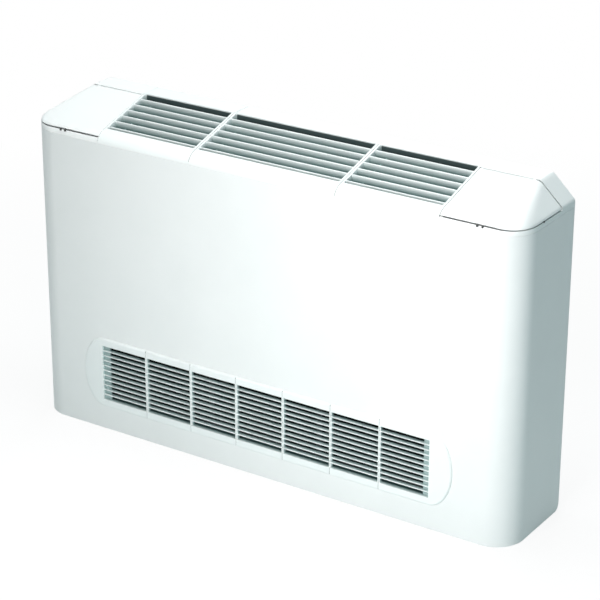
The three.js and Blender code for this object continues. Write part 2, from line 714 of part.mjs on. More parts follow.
function chassisSide(s) {
  const near = sidePlateX;
  const low = PLATE + GAP;
  const far = near + SIDE_FLANGE;
  const web = sideBox(s, near, near + PLATE, chassisFront, chassisBack, low, sidePlateTop);
  const foot = sideBox(s, near, far, chassisFront + 8, panBack - 8, low, low + PLATE);
  const back = sideBox(s, near, far, chassisBack - PLATE, chassisBack, PAN_LIP + 10, sidePlateTop);
  const heel = sideBox(s, 0, FAR, panBack - PLATE - GAP, FAR, 0, PAN_LIP + GAP);
  const rest = 3;               // sheet left behind the coil's edges
  const window = alongX(rectangle(
    -coilHalf.thick + rest, coilHalf.thick - rest, -coilHalf.tall + 5, coilHalf.tall - 5,
  ), -FAR, FAR, coilTurn);
  const drain = alongX(circle(SPOUT + 1, trayMidY, spoutZ, 16), -FAR, FAR);
  return union([web, foot, back]).subtract(heel).subtract(window).subtract(drain);
}

for (const { name, s } of sides) {
  addNode(`chassis_side_${name}`, chassisSide(s), finishes.galvanised);
}

// ---------------------------------------------------------------- fans

const fanY = backY - FAN_AXIS_BACK;
const fanMidX = MOTOR_LENGTH / 2 + MOTOR_TO_FAN + HOUSING_WIDTH / 2;
const mouthBack = fanY + SCROLL_END;

// Scroll outline in (y, z): the radius grows steadily from the tongue round under the axis,
// then the back wall rises straight to the deck. `shrink` moves it inwards by a wall.
function scrollOutline(shrink, top) {
  const steps = 20;
  const from = 60;
  const to = 360;
  const spiral = Array.from({ length: steps + 1 }, (_, i) => {
    const share = i / steps;
    const angle = rad(from + (to - from) * share);
    const radius = THREE.MathUtils.lerp(SCROLL_START, SCROLL_END, share) - shrink;
    return [fanY + radius * Math.cos(angle), FAN_AXIS_LEVEL + radius * Math.sin(angle)];
  });
  const tongueY = spiral[0][0];
  return [...spiral, [mouthBack - shrink, top], [tongueY, top]];
}

function fanHousing(middle, upper) {
  const half = HOUSING_WIDTH / 2;
  const wall = HOUSING_WALL;
  const top = DECK_LEVEL - GAP;
  const body = alongX(scrollOutline(0, top), middle - half, middle + half)
    .subtract(alongX(scrollOutline(wall, FAR), middle - half + wall, middle + half - wall))
    .subtract(alongX(circle(INLET_RADIUS, fanY, FAN_AXIS_LEVEL, 24), -FAR, FAR));
  const part = GAP / 2;
  const cut = upper
    ? box(-FAR, FAR, -FAR, FAR, FAN_AXIS_LEVEL + part, FAR)
    : box(-FAR, FAR, -FAR, FAR, -FAR, FAN_AXIS_LEVEL - part);
  return body.intersect(cut);
}

function fanWheel(middle) {
  const half = WHEEL_WIDTH / 2;
  const round = (radius, x0, x1) => alongX(circle(radius, fanY, FAN_AXIS_LEVEL, 24), x0, x1);
  const ringAt = (x0) => round(WHEEL_RADIUS, x0, x0 + WHEEL_PLATE)
    .subtract(round(WHEEL_RADIUS - WHEEL_RING, x0 - 1, x0 + WHEEL_PLATE + 1));
  const disc = round(WHEEL_RADIUS, middle - WHEEL_PLATE / 2, middle + WHEEL_PLATE / 2);
  const hub = alongX(circle(WHEEL_HUB, fanY, FAN_AXIS_LEVEL, 12), middle - 12, middle + 12);
  const blades = Array.from({ length: WHEEL_BLADES }, (_, i) => {
    const turn = (i / WHEEL_BLADES) * 2 * Math.PI;
    const blade = new THREE.BoxGeometry(WHEEL_WIDTH - 2, WHEEL_BLADE_THICK, WHEEL_BLADE_WIDTH);
    blade.rotateX(rad(35)).translate(0, 0, WHEEL_RADIUS - WHEEL_RING / 2 - 0.1);
    return solid(blade.rotateX(turn).translate(middle, fanY, FAN_AXIS_LEVEL));
  });
  const rings = [ringAt(middle - half), ringAt(middle + half - WHEEL_PLATE)];
  const bore = alongX(circle(SHAFT + GAP, fanY, FAN_AXIS_LEVEL, 12), -FAR, FAR);
  return union([disc, hub, ...rings, ...blades]).subtract(bore);
}

for (const { name, s } of sides) {
  addNode(`fan_housing_${name}_upper`, fanHousing(s * fanMidX, true), finishes.greyPlastic);
  addNode(`fan_housing_${name}_lower`, fanHousing(s * fanMidX, false), finishes.greyPlastic);
  addNode(`fan_wheel_${name}`, fanWheel(s * fanMidX), finishes.aluminium);
}

const shaftReach = fanMidX + 24;
addNode('motor_shaft', alongX(
  circle(SHAFT, fanY, FAN_AXIS_LEVEL, 12), -shaftReach, shaftReach), finishes.steel);

function motorBody() {
  const half = MOTOR_LENGTH / 2;
  const can = alongX(circle(MOTOR_RADIUS, fanY, FAN_AXIS_LEVEL, 28), -half, half);
  const reach = half + MOTOR_HUB_LENGTH;
  const hub = alongX(circle(MOTOR_HUB, fanY, FAN_AXIS_LEVEL, 20), -reach, reach);
  return can.add(hub).subtract(alongX(circle(SHAFT + GAP, fanY, FAN_AXIS_LEVEL, 12), -FAR, FAR));
}

addNode('motor_body', motorBody(), finishes.steel);

// A rubber ring on the motor's hub, and the plate that holds the ring and hangs from the deck.
for (const { name, s } of sides) {
  const near = MOTOR_LENGTH / 2 + 2;
  const far = MOTOR_LENGTH / 2 + MOTOR_HUB_LENGTH - 1;
  const bore = sidePrism(s, circle(MOTOR_HUB + GAP, fanY, FAN_AXIS_LEVEL, 20), near - 1, far + 1);
  const ring = sidePrism(s, circle(MOTOR_HUB + MOTOR_RING, fanY, FAN_AXIS_LEVEL, 20), near, far);
  addNode(`motor_ring_${name}`, ring.subtract(bore), finishes.rubber);
  const seat = MOTOR_HUB + MOTOR_RING + GAP;
  const reach = seat + YOKE_EDGE;
  const top = DECK_LEVEL - GAP;
  const web = sideBox(s, near + YOKE, near + 2 * YOKE, fanY - reach, fanY + reach,
    FAN_AXIS_LEVEL - reach, top);
  const flange = sideBox(s, near + YOKE, near + YOKE + YOKE_FLANGE, fanY - reach, fanY + reach,
    top - PLATE, top);
  const hole = sidePrism(s, circle(seat, fanY, FAN_AXIS_LEVEL, 20), 0, far + YOKE_FLANGE);
  addNode(`motor_yoke_${name}`, web.add(flange).subtract(hole), finishes.galvanised);
}

function fanDeck() {
  const reach = sidePlateX - GAP;
  let plate = box(-reach, reach, chassisFront, chassisBack, DECK_LEVEL, deckTop);
  for (const { s } of sides) {
    const half = HOUSING_WIDTH / 2 - HOUSING_WALL;
    const middle = s * fanMidX;
    plate = plate.subtract(box(
      middle - half, middle + half, trayMidY + TRAY_WIDTH / 2 + 2, mouthBack - HOUSING_WALL, 0, FAR));
  }
  return plate;
}

addNode('fan_deck', fanDeck(), finishes.galvanised);

// ---------------------------------------------------------------- heat exchanger

const endPlateX = sidePlateX - GAP - PLATE;
const finX = endPlateX - GAP;

// Comb outline in (x, y): teeth along both faces of a flat core.
function finBlock() {
  const core = coilHalf.thick - FIN_DEPTH;
  const pitch = (2 * finX) / FIN_TEETH;
  const edge = (side) => Array.from({ length: FIN_TEETH }, (_, i) => {
    const x = -finX + pitch * i;
    return [
      [x, side * coilHalf.thick], [x + pitch * 0.6, side * coilHalf.thick],
      [x + pitch * 0.6, side * core], [x + pitch, side * core],
    ];
  }).flat();
  const points = [...edge(-1).slice(0, -1), ...edge(1).slice(0, -1).reverse()];
  const geometry = extruded(outline(points), COIL_HEIGHT).translate(0, 0, -coilHalf.tall);
  return solid(geometry.applyMatrix4(coilTurn));
}

addNode('fin_block', finBlock(), finishes.aluminium);

const tubeLevels = Array.from({ length: COIL_ROWS }, (_, i) => (i - (COIL_ROWS - 1) / 2) * COIL_PITCH);
const tubeDepth = TUBE_ROWS / 2;

for (const { name, s } of sides) {
  const plate = alongX(
    rectangle(-coilHalf.thick - 2, coilHalf.thick + 2, -coilHalf.tall, coilHalf.tall),
    s > 0 ? endPlateX : -endPlateX - PLATE, s > 0 ? endPlateX + PLATE : -endPlateX, coilTurn);
  const holes = tubeLevels.flatMap((level) => [-1, 1].map((row) =>
    alongX(circle(TUBE + GAP, row * tubeDepth, level, 12), -FAR, FAR, coilTurn)));
  addNode(`coil_end_plate_${name}`, plate.subtract(union(holes)), finishes.galvanised);
}

// A copper bend on the right end: two straight stubs and a half turn between the rows.
function returnBend(level) {
  const start = endPlateX;
  const straight = 8;
  const bendX = start + straight;
  const points = [
    new THREE.Vector3(start, -tubeDepth, level),
    ...arc(tubeDepth, 0, 0, -90, 90, 10).map(([a, b]) => new THREE.Vector3(bendX + a, b, level)),
    new THREE.Vector3(start, tubeDepth, level),
  ];
  return tubeThrough(points, TUBE, 8).applyMatrix4(coilTurn);
}

// A closed round tube through the given points, each ring square to the path there.
function tubeThrough(points, radius, sidesCount) {
  const positions = [];
  const count = points.length;
  points.forEach((point, i) => {
    const before = points[Math.max(i - 1, 0)];
    const after = points[Math.min(i + 1, count - 1)];
    const along = new THREE.Vector3().subVectors(after, before).normalize();
    const up = new THREE.Vector3(0, 0, 1);
    const side = new THREE.Vector3().crossVectors(along, up).normalize();
    for (const [a, b] of circle(radius, 0, 0, sidesCount)) {
      positions.push(...point.clone().addScaledVector(side, a).addScaledVector(up, b).toArray());
    }
  });
  const indices = [];
  for (let i = 0; i + 1 < count; i += 1) {
    for (let j = 0; j < sidesCount; j += 1) {
      const a = i * sidesCount + j;
      const b = i * sidesCount + ((j + 1) % sidesCount);
      indices.push(a, a + sidesCount, b + sidesCount, a, b + sidesCount, b);
    }
  }
  for (let j = 1; j + 1 < sidesCount; j += 1) {
    indices.push(0, j, j + 1);
    const end = (count - 1) * sidesCount;
    indices.push(end, end + j + 1, end + j);
  }
  const geometry = new THREE.BufferGeometry();
  geometry.setAttribute('position', new THREE.BufferAttribute(new Float32Array(positions), 3));
  geometry.setIndex(indices);
  return geometry;
}

tubeLevels.forEach((level, index) => {
  addNode(`return_bend_${index + 1}`, solid(returnBend(level)), finishes.copper);
});

// Headers stand along each row on the left end, with a stub into every tube.
const headerX = -(sidePlateX + PLATE + HEADER_OUT);
const headerY = tubeDepth + HEADER_SPREAD;
const headerLow = tubeLevels[0] - 14;
const headerTop = tubeLevels.at(-1) + 14;

function header(row) {
  const y = row * headerY;
  const pipe = new THREE.CylinderGeometry(HEADER, HEADER, headerTop - headerLow, 16);
  pipe.rotateX(Math.PI / 2).translate(headerX, y, (headerTop + headerLow) / 2);
  const stubs = tubeLevels.map((level) =>
    alongX(circle(TUBE, row * tubeDepth, level, 12), headerX, -endPlateX, coilTurn));
  return union([solid(pipe.applyMatrix4(coilTurn)), ...stubs]);
}

const NUT_LENGTH = 16;
const rows = [
  { name: 'supply', row: -1 },
  { name: 'return', row: 1 },
];
for (const { name, row } of rows) {
  addNode(`${name}_header`, header(row), finishes.copper);
  const nut = new THREE.CylinderGeometry(HEADER + 4, HEADER + 4, NUT_LENGTH, 6);
  nut.rotateX(Math.PI / 2)
    .translate(headerX, row * (HEADER + 5), headerLow - NUT_LENGTH / 2 - GAP);
  addNode(`${name}_union_nut`, solid(nut.applyMatrix4(coilTurn)), finishes.brass);
}

// ---------------------------------------------------------------- condensate tray

function condensateTray() {
  const reach = sidePlateX - 1;
  const half = TRAY_WIDTH / 2;
  const inner = half - TRAY_WALL;
  const outside = box(
    -reach, reach, trayMidY - half, trayMidY + half, trayLow, trayLow + TRAY_HEIGHT);
  const inside = box(-reach + TRAY_WALL, reach - TRAY_WALL, trayMidY - inner, trayMidY + inner,
    trayLow + TRAY_WALL, FAR);
  const spout = alongX(
    circle(SPOUT, trayMidY, spoutZ, 16), -reach - SPOUT_LENGTH, -reach + 1);
  const bore = alongX(
    circle(SPOUT - TRAY_WALL, trayMidY, spoutZ, 16), -FAR, -reach + TRAY_WALL + 1);
  return outside.subtract(inside).add(spout).subtract(bore);
}

addNode('condensate_tray', condensateTray(), finishes.greyPlastic);

// ---------------------------------------------------------------- controls under the right lid

const panelTurn = new THREE.Matrix4().makeRotationX(rad(SLOPE))
  .setPosition(pedestalX, panelMidY, slopeLevel(panelMidY) - pedestalDrop);

// A prism square to the control panel, from an outline in the panel's own (x, y).
function panelPrism(points, z0, z1) {
  return alongZ(points, z0, z1, panelTurn);
}

const panelTop = GAP + PANEL_THICK;
const knobs = [
  { name: 'thermostat_knob', x: -KNOB_OUT },
  { name: 'speed_knob', x: KNOB_OUT },
];

function controlPanel() {
  const half = { x: PANEL_WIDTH / 2, y: PANEL_LENGTH / 2 };
  const plate = panelPrism(rectangle(-half.x, half.x, -half.y, half.y), GAP, panelTop);
  const holes = knobs.map(({ x }) => panelPrism(circle(STEM + GAP, x, 0, 12), 0, panelTop + 1));
  const buttonHole = panelPrism(circle(BUTTON_RADIUS + GAP, 0, 0, 20), 0, panelTop + 1);
  return plate.subtract(union([...holes, buttonHole]));
}

function knob(x) {
  const low = panelTop + GAP;
  const cap = panelPrism(circle(KNOB_RADIUS, x, 0, 24), low, low + KNOB_HEIGHT - 3);
  const grip = panelPrism(
    rectangle(x - 3, x + 3, 1 - KNOB_RADIUS, KNOB_RADIUS - 1), low + 1, low + KNOB_HEIGHT);
  const stem = panelPrism(circle(STEM, x, 0, 12), low - STEM_DEPTH, low + 1);
  return union([cap, grip, stem]);
}

function powerButton() {
  const cap = panelPrism(circle(BUTTON_RADIUS, 0, 0, 20), -BUTTON_FLANGE, panelTop + BUTTON_PROUD);
  const rim = panelPrism(circle(BUTTON_RADIUS + BUTTON_RIM, 0, 0, 20), -BUTTON_FLANGE, 0);
  return cap.add(rim);
}

function switchBlock() {
  const half = { x: SWITCH_WIDTH / 2, y: SWITCH_LENGTH / 2 };
  const block = panelPrism(rectangle(-half.x, half.x, -half.y, half.y), -SWITCH_DEPTH, 0);
  const bores = knobs.map(({ x }) => panelPrism(circle(STEM + GAP, x, 0, 12), -FAR, 1));
  const recess = BUTTON_FLANGE + BUTTON_TRAVEL + 2 * GAP;
  const well = panelPrism(circle(BUTTON_RADIUS + BUTTON_RIM + GAP, 0, 0, 20), -recess, 1);
  return block.subtract(union([...bores, well]));
}

addNode('control_panel', controlPanel(), finishes.greyPlastic);
for (const { name, x } of knobs) {
  addNode(name, knob(x), finishes.blackPlastic);
}
addNode('power_button', powerButton(), finishes.greenPlastic);
addNode('switch_block', switchBlock(), finishes.blackPlastic);

// ---------------------------------------------------------------- electrical box

const boxNear = sidePlateX + PLATE + GAP;
const boxFar = boxNear + BOX_DEPTH;
const boxY = [frontY + BOX_FRONT, frontY + BOX_FRONT + BOX_LENGTH];
const boxZ = [BOX_LOW, BOX_LOW + BOX_HEIGHT];
const glandX = boxNear + BOX_DEPTH / 2;
const glandY = (boxY[0] + boxY[1]) / 2;

function electricalBox() {
  const outside = box(boxNear, boxFar, ...boxY, ...boxZ);
  const inside = box(boxNear + BOX_WALL, FAR, boxY[0] + BOX_WALL, boxY[1] - BOX_WALL,
    boxZ[0] + BOX_WALL, boxZ[1] - BOX_WALL);
  const hole = alongZ(circle(GLAND + GAP, glandX, glandY, 16), 0, BOX_LOW + BOX_WALL + 3);
  return outside.subtract(inside).subtract(hole);
}

function cableGland() {
  const hex = alongZ(circle(GLAND + 4, glandX, glandY, 6), BOX_LOW - GAP - 9, BOX_LOW - GAP);
  const thread = alongZ(circle(GLAND, glandX, glandY, 16), BOX_LOW - GAP - 1, BOX_LOW + 9);
  return hex.add(thread).subtract(alongZ(circle(4, glandX, glandY, 12), 0, FAR));
}

addNode('electrical_box', electricalBox(), finishes.galvanised);
addNode('electrical_cover', box(
  boxFar + GAP, boxFar + GAP + PLATE, ...boxY, ...boxZ), finishes.galvanised);
addNode('cable_gland', cableGland(), finishes.blackPlastic);

// ---------------------------------------------------------------- air vent on the return header

const ventLow = headerTop + GAP;
const ventTop = ventLow + VENT_BODY;

addNode('air_vent_body', alongZ(
  circle(VENT_RADIUS, headerX, headerY, 6), ventLow, ventTop, coilTurn), finishes.brass);
addNode('air_vent_knob', alongZ(
  circle(VENT_KNOB, headerX, headerY, 14), ventTop + GAP, ventTop + 9, coilTurn),
finishes.blackPlastic);

export default unit;
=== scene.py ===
import json
import math

import bmesh
import bpy
import numpy as np
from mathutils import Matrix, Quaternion, Vector


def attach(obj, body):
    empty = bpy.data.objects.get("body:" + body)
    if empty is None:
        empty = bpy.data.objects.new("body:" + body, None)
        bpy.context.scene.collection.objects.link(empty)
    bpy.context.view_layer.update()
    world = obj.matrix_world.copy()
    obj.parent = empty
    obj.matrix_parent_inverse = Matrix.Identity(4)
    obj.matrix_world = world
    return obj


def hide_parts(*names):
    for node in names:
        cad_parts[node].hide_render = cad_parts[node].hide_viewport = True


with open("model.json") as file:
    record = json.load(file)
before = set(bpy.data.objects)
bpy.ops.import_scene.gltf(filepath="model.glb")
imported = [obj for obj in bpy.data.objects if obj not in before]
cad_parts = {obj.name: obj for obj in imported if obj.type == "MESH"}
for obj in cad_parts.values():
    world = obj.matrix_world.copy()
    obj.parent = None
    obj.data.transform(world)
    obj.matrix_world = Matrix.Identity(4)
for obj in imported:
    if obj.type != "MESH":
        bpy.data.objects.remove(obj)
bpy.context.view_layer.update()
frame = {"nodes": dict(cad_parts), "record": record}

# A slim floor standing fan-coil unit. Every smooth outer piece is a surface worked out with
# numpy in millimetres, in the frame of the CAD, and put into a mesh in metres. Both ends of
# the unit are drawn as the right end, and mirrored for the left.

# ---------------------------------------------------------------- sizes, millimetres

MM = 0.001
WIDTH, HEIGHT, DEPTH = 926.0, 570.0, 171.0
CORNER = 50.0                    # front vertical corners, in plan
MODULE, MODULES = 91.7, 7        # one unit of both grilles, and how many there are
SHEET = 1.5
HEAD_HEIGHT, HEAD_WALL = 49.0, 2.5
SLOPE, SLOPE_RUN = math.radians(15.4), 131.5   # outlet slope, and where it ends from the front
NOSE, CREASE = 26.0, 0.4         # rounding of the slope into the front, and into the top
END_RUN, END_DROP, END_CREASE = 39.0, 37.0, 9.0
LID_RUN = 126.5                  # from the front to the lids' hinges
OUTLET_RAIL, OUTLET_FRONT, OUTLET_DEPTH, OUTLET_DROP = 3.7, 22.9, 109.1, 26.0
BLADES, BLADE_FIRST, BLADE_PITCH, BLADE_HEIGHT = 6, 7.7, 17.3, 22.0
BLADE_THICK, BLADE_FOOT, BLADE_LEAN = 2.4, 1.6, math.radians(6)
INTAKE_LOW, INTAKE_HEIGHT, INTAKE_END, INTAKE_PROUD = 44.7, 126.6, 40.0, 4.5
INTAKE_BAND, SLOTS = 13.0, 11

BACK_Y = (DEPTH + INTAKE_PROUD) / 2
FRONT_Y = BACK_Y - DEPTH
FACE_Y = FRONT_Y - INTAKE_PROUD
HALF = WIDTH / 2
CORNER_X, CORNER_Y = HALF - CORNER, FRONT_Y + CORNER     # centre of a front corner, in plan
CABINET_TOP = HEIGHT - HEAD_HEIGHT
SEAM_X = MODULES / 2 * MODULE    # seam between the grilles and the end caps
SHELF_Y = FRONT_Y + SLOPE_RUN
HINGE_Y = FRONT_Y + LID_RUN
OUTLET_Y = FRONT_Y + OUTLET_FRONT
OUTLET_END = OUTLET_Y + OUTLET_DEPTH
HEAD_LOW = CABINET_TOP + 0.3
SPIGOT_LOW, SPIGOT_TOP = CABINET_TOP - 12, 522.4         # the head's lip inside the cabinet
DECK_LEVEL = 523.8               # top of the end caps' floor
TAN_SLOPE, TAN_END = math.tan(SLOPE), END_DROP / END_RUN


def slope_level(y):
    """Height of the outlet slope at y."""
    return HEIGHT - (SHELF_Y - y) * TAN_SLOPE


HINGE_Z = slope_level(HINGE_Y) - HEAD_WALL / math.cos(SLOPE) - 0.2

# ---------------------------------------------------------------- grids and meshes


def spread(*coordinates):
    """Points from their coordinates: arrays that broadcast together, and single numbers."""
    return np.stack(np.broadcast_arrays(*coordinates), -1)


def grid(points):
    """Quads of an (m, n, 3) grid of points: each joins four neighbours."""
    rows, cols = points.shape[:2]
    corner = (np.arange(rows - 1)[:, None] * cols + np.arange(cols - 1)).ravel()
    quads = np.stack([corner, corner + 1, corner + cols + 1, corner + cols], 1)
    return points.reshape(-1, 3), [quads]


def loop_grid(rings, caps=False):
    """Quads of (m, n, 3) rings of points, each ring closed on itself; `caps` closes both ends."""
    rows, cols = rings.shape[:2]
    here = (np.arange(rows - 1)[:, None] * cols + np.arange(cols)).ravel()
    step = (np.arange(rows - 1)[:, None] * cols + (np.arange(cols) + 1) % cols).ravel()
    quads = np.stack([here, step, step + cols, here + cols], 1)
    faces = [quads]
    if caps:
        faces += [np.arange(cols)[None, ::-1], (np.arange(cols) + (rows - 1) * cols)[None]]
    return rings.reshape(-1, 3), faces


def together(forms):
    """Several (vertices, faces) forms as one."""
    places, faces, count = [], [], 0
    for points, groups in forms:
        places.append(points)
        faces += [group + count for group in groups]
        count += len(points)
    return np.concatenate(places), faces


def flipped(form):
    """The form with every face turned round."""
    return form[0], [group[:, ::-1] for group in form[1]]


def mirrored(form):
    """The form across the middle plane x = 0, its faces still pointing the same way."""
    points, groups = form
    return points * np.array([-1.0, 1.0, 1.0]), [group[:, ::-1] for group in groups]


def on_side(form, side):
    """The form on the right end (side 1) or the left end (side -1)."""
    return form if side > 0 else mirrored(form)


def mesh_of(name, form, recalc):
    """A mesh in metres from a form in millimetres, its double points merged."""
    points, groups = form
    mesh = bpy.data.meshes.new(name)
    mesh.from_pydata((points * MM).tolist(), [], [f for g in groups for f in g.tolist()])
    work = bmesh.new()
    work.from_mesh(mesh)
    bmesh.ops.remove_doubles(work, verts=work.verts, dist=2e-6)
    bmesh.ops.dissolve_degenerate(work, edges=work.edges, dist=1e-7)
    if recalc:
        bmesh.ops.recalc_face_normals(work, faces=work.faces)
    work.to_mesh(mesh)
    work.free()
    return mesh


def linked(name, data):
    """A new object in the scene, at the origin."""
    obj = bpy.data.objects.new(name, data)
    bpy.context.scene.collection.objects.link(obj)
    return obj


def part(name, form, wall=0.0, edge=0.0, segments=2, recalc=False, sharp=35.0):
    """An object of the form. `wall` thickens an open surface inwards and `edge` rounds its
    edges; both are then part of the mesh."""
    mesh = mesh_of(name, form, recalc)
    obj = linked(name, mesh)
    mesh.shade_smooth()
    if wall:
        thick = obj.modifiers.new("wall", "SOLIDIFY")
        thick.thickness, thick.offset = wall * MM, -1.0
        thick.use_even_offset = True
    if edge:
        soft = obj.modifiers.new("edge", "BEVEL")
        soft.width, soft.segments = edge * MM, segments
        soft.limit_method, soft.angle_limit = "ANGLE", math.radians(sharp)
        soft.harden_normals = True
        soft.use_clamp_overlap = True
        soft.miter_outer = "MITER_ARC"
    if wall or edge:
        graph = bpy.context.evaluated_depsgraph_get()
        settled = bpy.data.meshes.new_from_object(obj.evaluated_get(graph), depsgraph=graph)
        obj.modifiers.clear()
        obj.data = settled
        bpy.data.meshes.remove(mesh)
        settled.name = name
    else:
        mesh.set_sharp_from_angle(angle=math.radians(sharp))
    return obj


def fused(name, objects):
    """One object of several, with their split normals kept."""
    first = objects[0]
    with bpy.context.temp_override(
        active_object=first, object=first, selected_objects=objects,
        selected_editable_objects=objects,
    ):
        bpy.ops.object.join()
    first.name = name
    first.data.name = name
    return first


def place(obj, body, material, slot, *nodes):
    """Gives a piece its material and body, and hides the CAD nodes that it stands for; `slot` is
    not used.
    """
    obj.data.materials.clear()
    obj.data.materials.append(material)
    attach(obj, body)
    if nodes:
        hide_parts(*nodes)


def patch(x, path):
    """A surface of straight lines along X: grid lines x by points (y, z) of a path."""
    return spread(np.asarray(x)[:, None], path[:, 0], path[:, 1])


def without(form, inside):
    """The form less the faces whose middle is inside, as told by a function of x, y and z."""
    points, groups = form
    kept = []
    for group in groups:
        middle = points[group].mean(1)
        kept.append(group[~inside(middle[:, 0], middle[:, 1], middle[:, 2])])
    return points, kept


def prism(outline, x0, x1):
    """A closed prism along X of a (y, z) outline drawn anticlockwise seen from +X."""
    return loop_grid(patch([x0, x1], np.asarray(outline, float)), caps=True)


def block(x0, x1, y0, y1, z0, z1):
    """A closed block between two corners."""
    return prism([[y0, z0], [y1, z0], [y1, z1], [y0, z1]], x0, x1)


def arc(radius, a, b, start, stop, steps):
    """Points of an arc about (a, b), angles in degrees."""
    angle = np.radians(np.linspace(start, stop, steps + 1))
    return spread(a + radius * np.cos(angle), b + radius * np.sin(angle))


def rod(radius, y, z, x0, x1, sides=32, bevel=0.3):
    """A round bar along X with its end edges broken."""
    turn = np.linspace(0, 2 * np.pi, sides, endpoint=False)
    x = np.array([[x0], [x0 + bevel], [x1 - bevel], [x1]])
    r = np.array([[radius - bevel], [radius], [radius], [radius - bevel]])
    return loop_grid(spread(x, y + r * np.cos(turn), z + r * np.sin(turn)), caps=True)


# ---------------------------------------------------------------- the head's surface

WALL_ROWS = np.array([529.1, 528.8, 526.6, 524.9, 523.1, HEAD_LOW])   # heights on the rim
LID_EDGE, LID_CLOSING = 531.0, 0.7        # lower edge of the lids, and its dip at the corner
LUG, LUG_GAP = 4.0, 0.3          # thickness of a hinge lug, and the play beside it
SEAM_LUG = SEAM_X + 0.15
OUTER_LUG = HALF - END_RUN - 3 * LUG
RING = HALF - OUTER_LUG - LUG - LUG_GAP   # width of the skin that follows the outline
REAR_EDGE = HINGE_Y + 2.8        # front edge of the fixed shelf behind each lid
NOTCH_Y = HINGE_Y - 3.1          # front of the lid's notches for the lugs
NOSE_LEVEL = slope_level(FRONT_Y) + NOSE * TAN_SLOPE - NOSE / math.cos(SLOPE)
NOSE_END = 90 + math.degrees(SLOPE)       # angle at which the nose runs into the slope


def smooth_min(a, b, blend):
    """The lower of two heights, their crease rounded over `blend`."""
    share = np.maximum(blend - np.abs(a - b), 0) / blend
    return np.minimum(a, b) - share**2 * blend / 4


def rounded_edge(d, edge, slope, radius):
    """Height at distance d inside a wall: a circle of `radius` that touches the wall and then
    the plane that leaves the wall at height `edge` and rises by `slope` for each millimetre."""
    flat = np.sqrt(1 + slope**2)
    centre = edge + radius * slope - radius * flat
    on_arc = d < radius * (1 - slope / flat)
    across = np.clip(d - radius, -radius, 0)
    return np.where(on_arc, centre + np.sqrt(radius**2 - across**2), edge + d * slope)


def head_level(foot, turn, d):
    """Height of the head's skin at distance d inside the plan outline, from its foot (x, y)
    and the outline's turn there (0 along the front, a quarter along the side): the lowest of
    the flat top, the outlet slope and the end slope, each rounded into the wall."""
    radius = NOSE + (END_CREASE - NOSE) * (turn / (np.pi / 2)) ** 0.8
    slope = rounded_edge(d, slope_level(foot[..., 1]), TAN_SLOPE * np.cos(turn), radius)
    end_edge = HEIGHT - END_DROP + (HALF - foot[..., 0]) * TAN_END
    end = rounded_edge(d, end_edge, TAN_END * np.sin(turn), radius)
    y = foot[..., 1] + d * np.cos(turn)
    forward = np.clip((SHELF_Y - y) / SLOPE_RUN, 0, 1)
    return smooth_min(smooth_min(HEIGHT, slope, CREASE), end, 4 + 8 * forward)


def head_point(foot, turn, d):
    """Points of the skin at distance d inside the outline, on the right end."""
    x = foot[..., 0] - d * np.sin(turn)
    y = foot[..., 1] + d * np.cos(turn)
    return spread(x, y, head_level(foot, turn, d))


def skin_level(y):
    """Height of the skin over the outlets at y: the slope or the flat top, whichever is lower."""
    return smooth_min(HEIGHT, slope_level(y), CREASE)


def head_above(x, y):
    """Points of the skin over a rectangle of x by y, well inside the outline."""
    across, along = np.meshgrid(x, y, indexing="ij")
    return head_point(spread(HALF, along), np.pi / 2, HALF - across)


def plan_path(front_x, side_y, bend=28):
    """The right half of the head's plan outline from the front round the corner to the side,
    through the given front x and side y: feet (n, 2) and turns (n,)."""
    turn = np.linspace(0, np.pi / 2, bend + 1)
    bent = spread(CORNER_X + CORNER * np.sin(turn), CORNER_Y - CORNER * np.cos(turn))
    feet = np.concatenate([spread(front_x, FRONT_Y)[:-1], bent, spread(HALF, side_y)[1:]])
    return feet, np.pad(turn, (len(front_x) - 1, len(side_y) - 1), mode="edge")


def distance_at(feet, turns, levels):
    """Distances inside the outline at which the skin passes the heights, which are one row for
    all feet or a row for each, read off a fine run; 0 where a height is on the upright wall."""
    run = 60 * np.linspace(0, 1, 1201) ** 2
    heights = head_level(feet[:, None, :], turns[:, None], run)
    levels = np.broadcast_to(levels, (len(feet), np.shape(levels)[-1]))
    return np.array([np.where(wanted > row[0], np.interp(wanted, row, run), 0)
                     for wanted, row in zip(levels, heights)])


def lines(*stops):
    """Sorted grid lines through the stops: plain numbers, and (from, to, cells) runs."""
    runs = [np.linspace(s[0], s[1], s[2] + 1) if isinstance(s, tuple) else [s] for s in stops]
    return np.unique(np.concatenate(runs).round(5))


CAP_X = lines((SEAM_LUG, CORNER_X, 26))
CAP_Y = lines((CORNER_Y, REAR_EDGE, 20))


def rim_band():
    """The rim below the lid: the wall and the foot of the nose, from the head's lower edge up
    to the lid's gap."""
    feet, turns = plan_path(CAP_X, CAP_Y)
    levels = WALL_ROWS[1:]
    points = head_point(feet[:, None, :], turns[:, None], distance_at(feet, turns, levels))
    points[..., 2] = levels
    return grid(points)


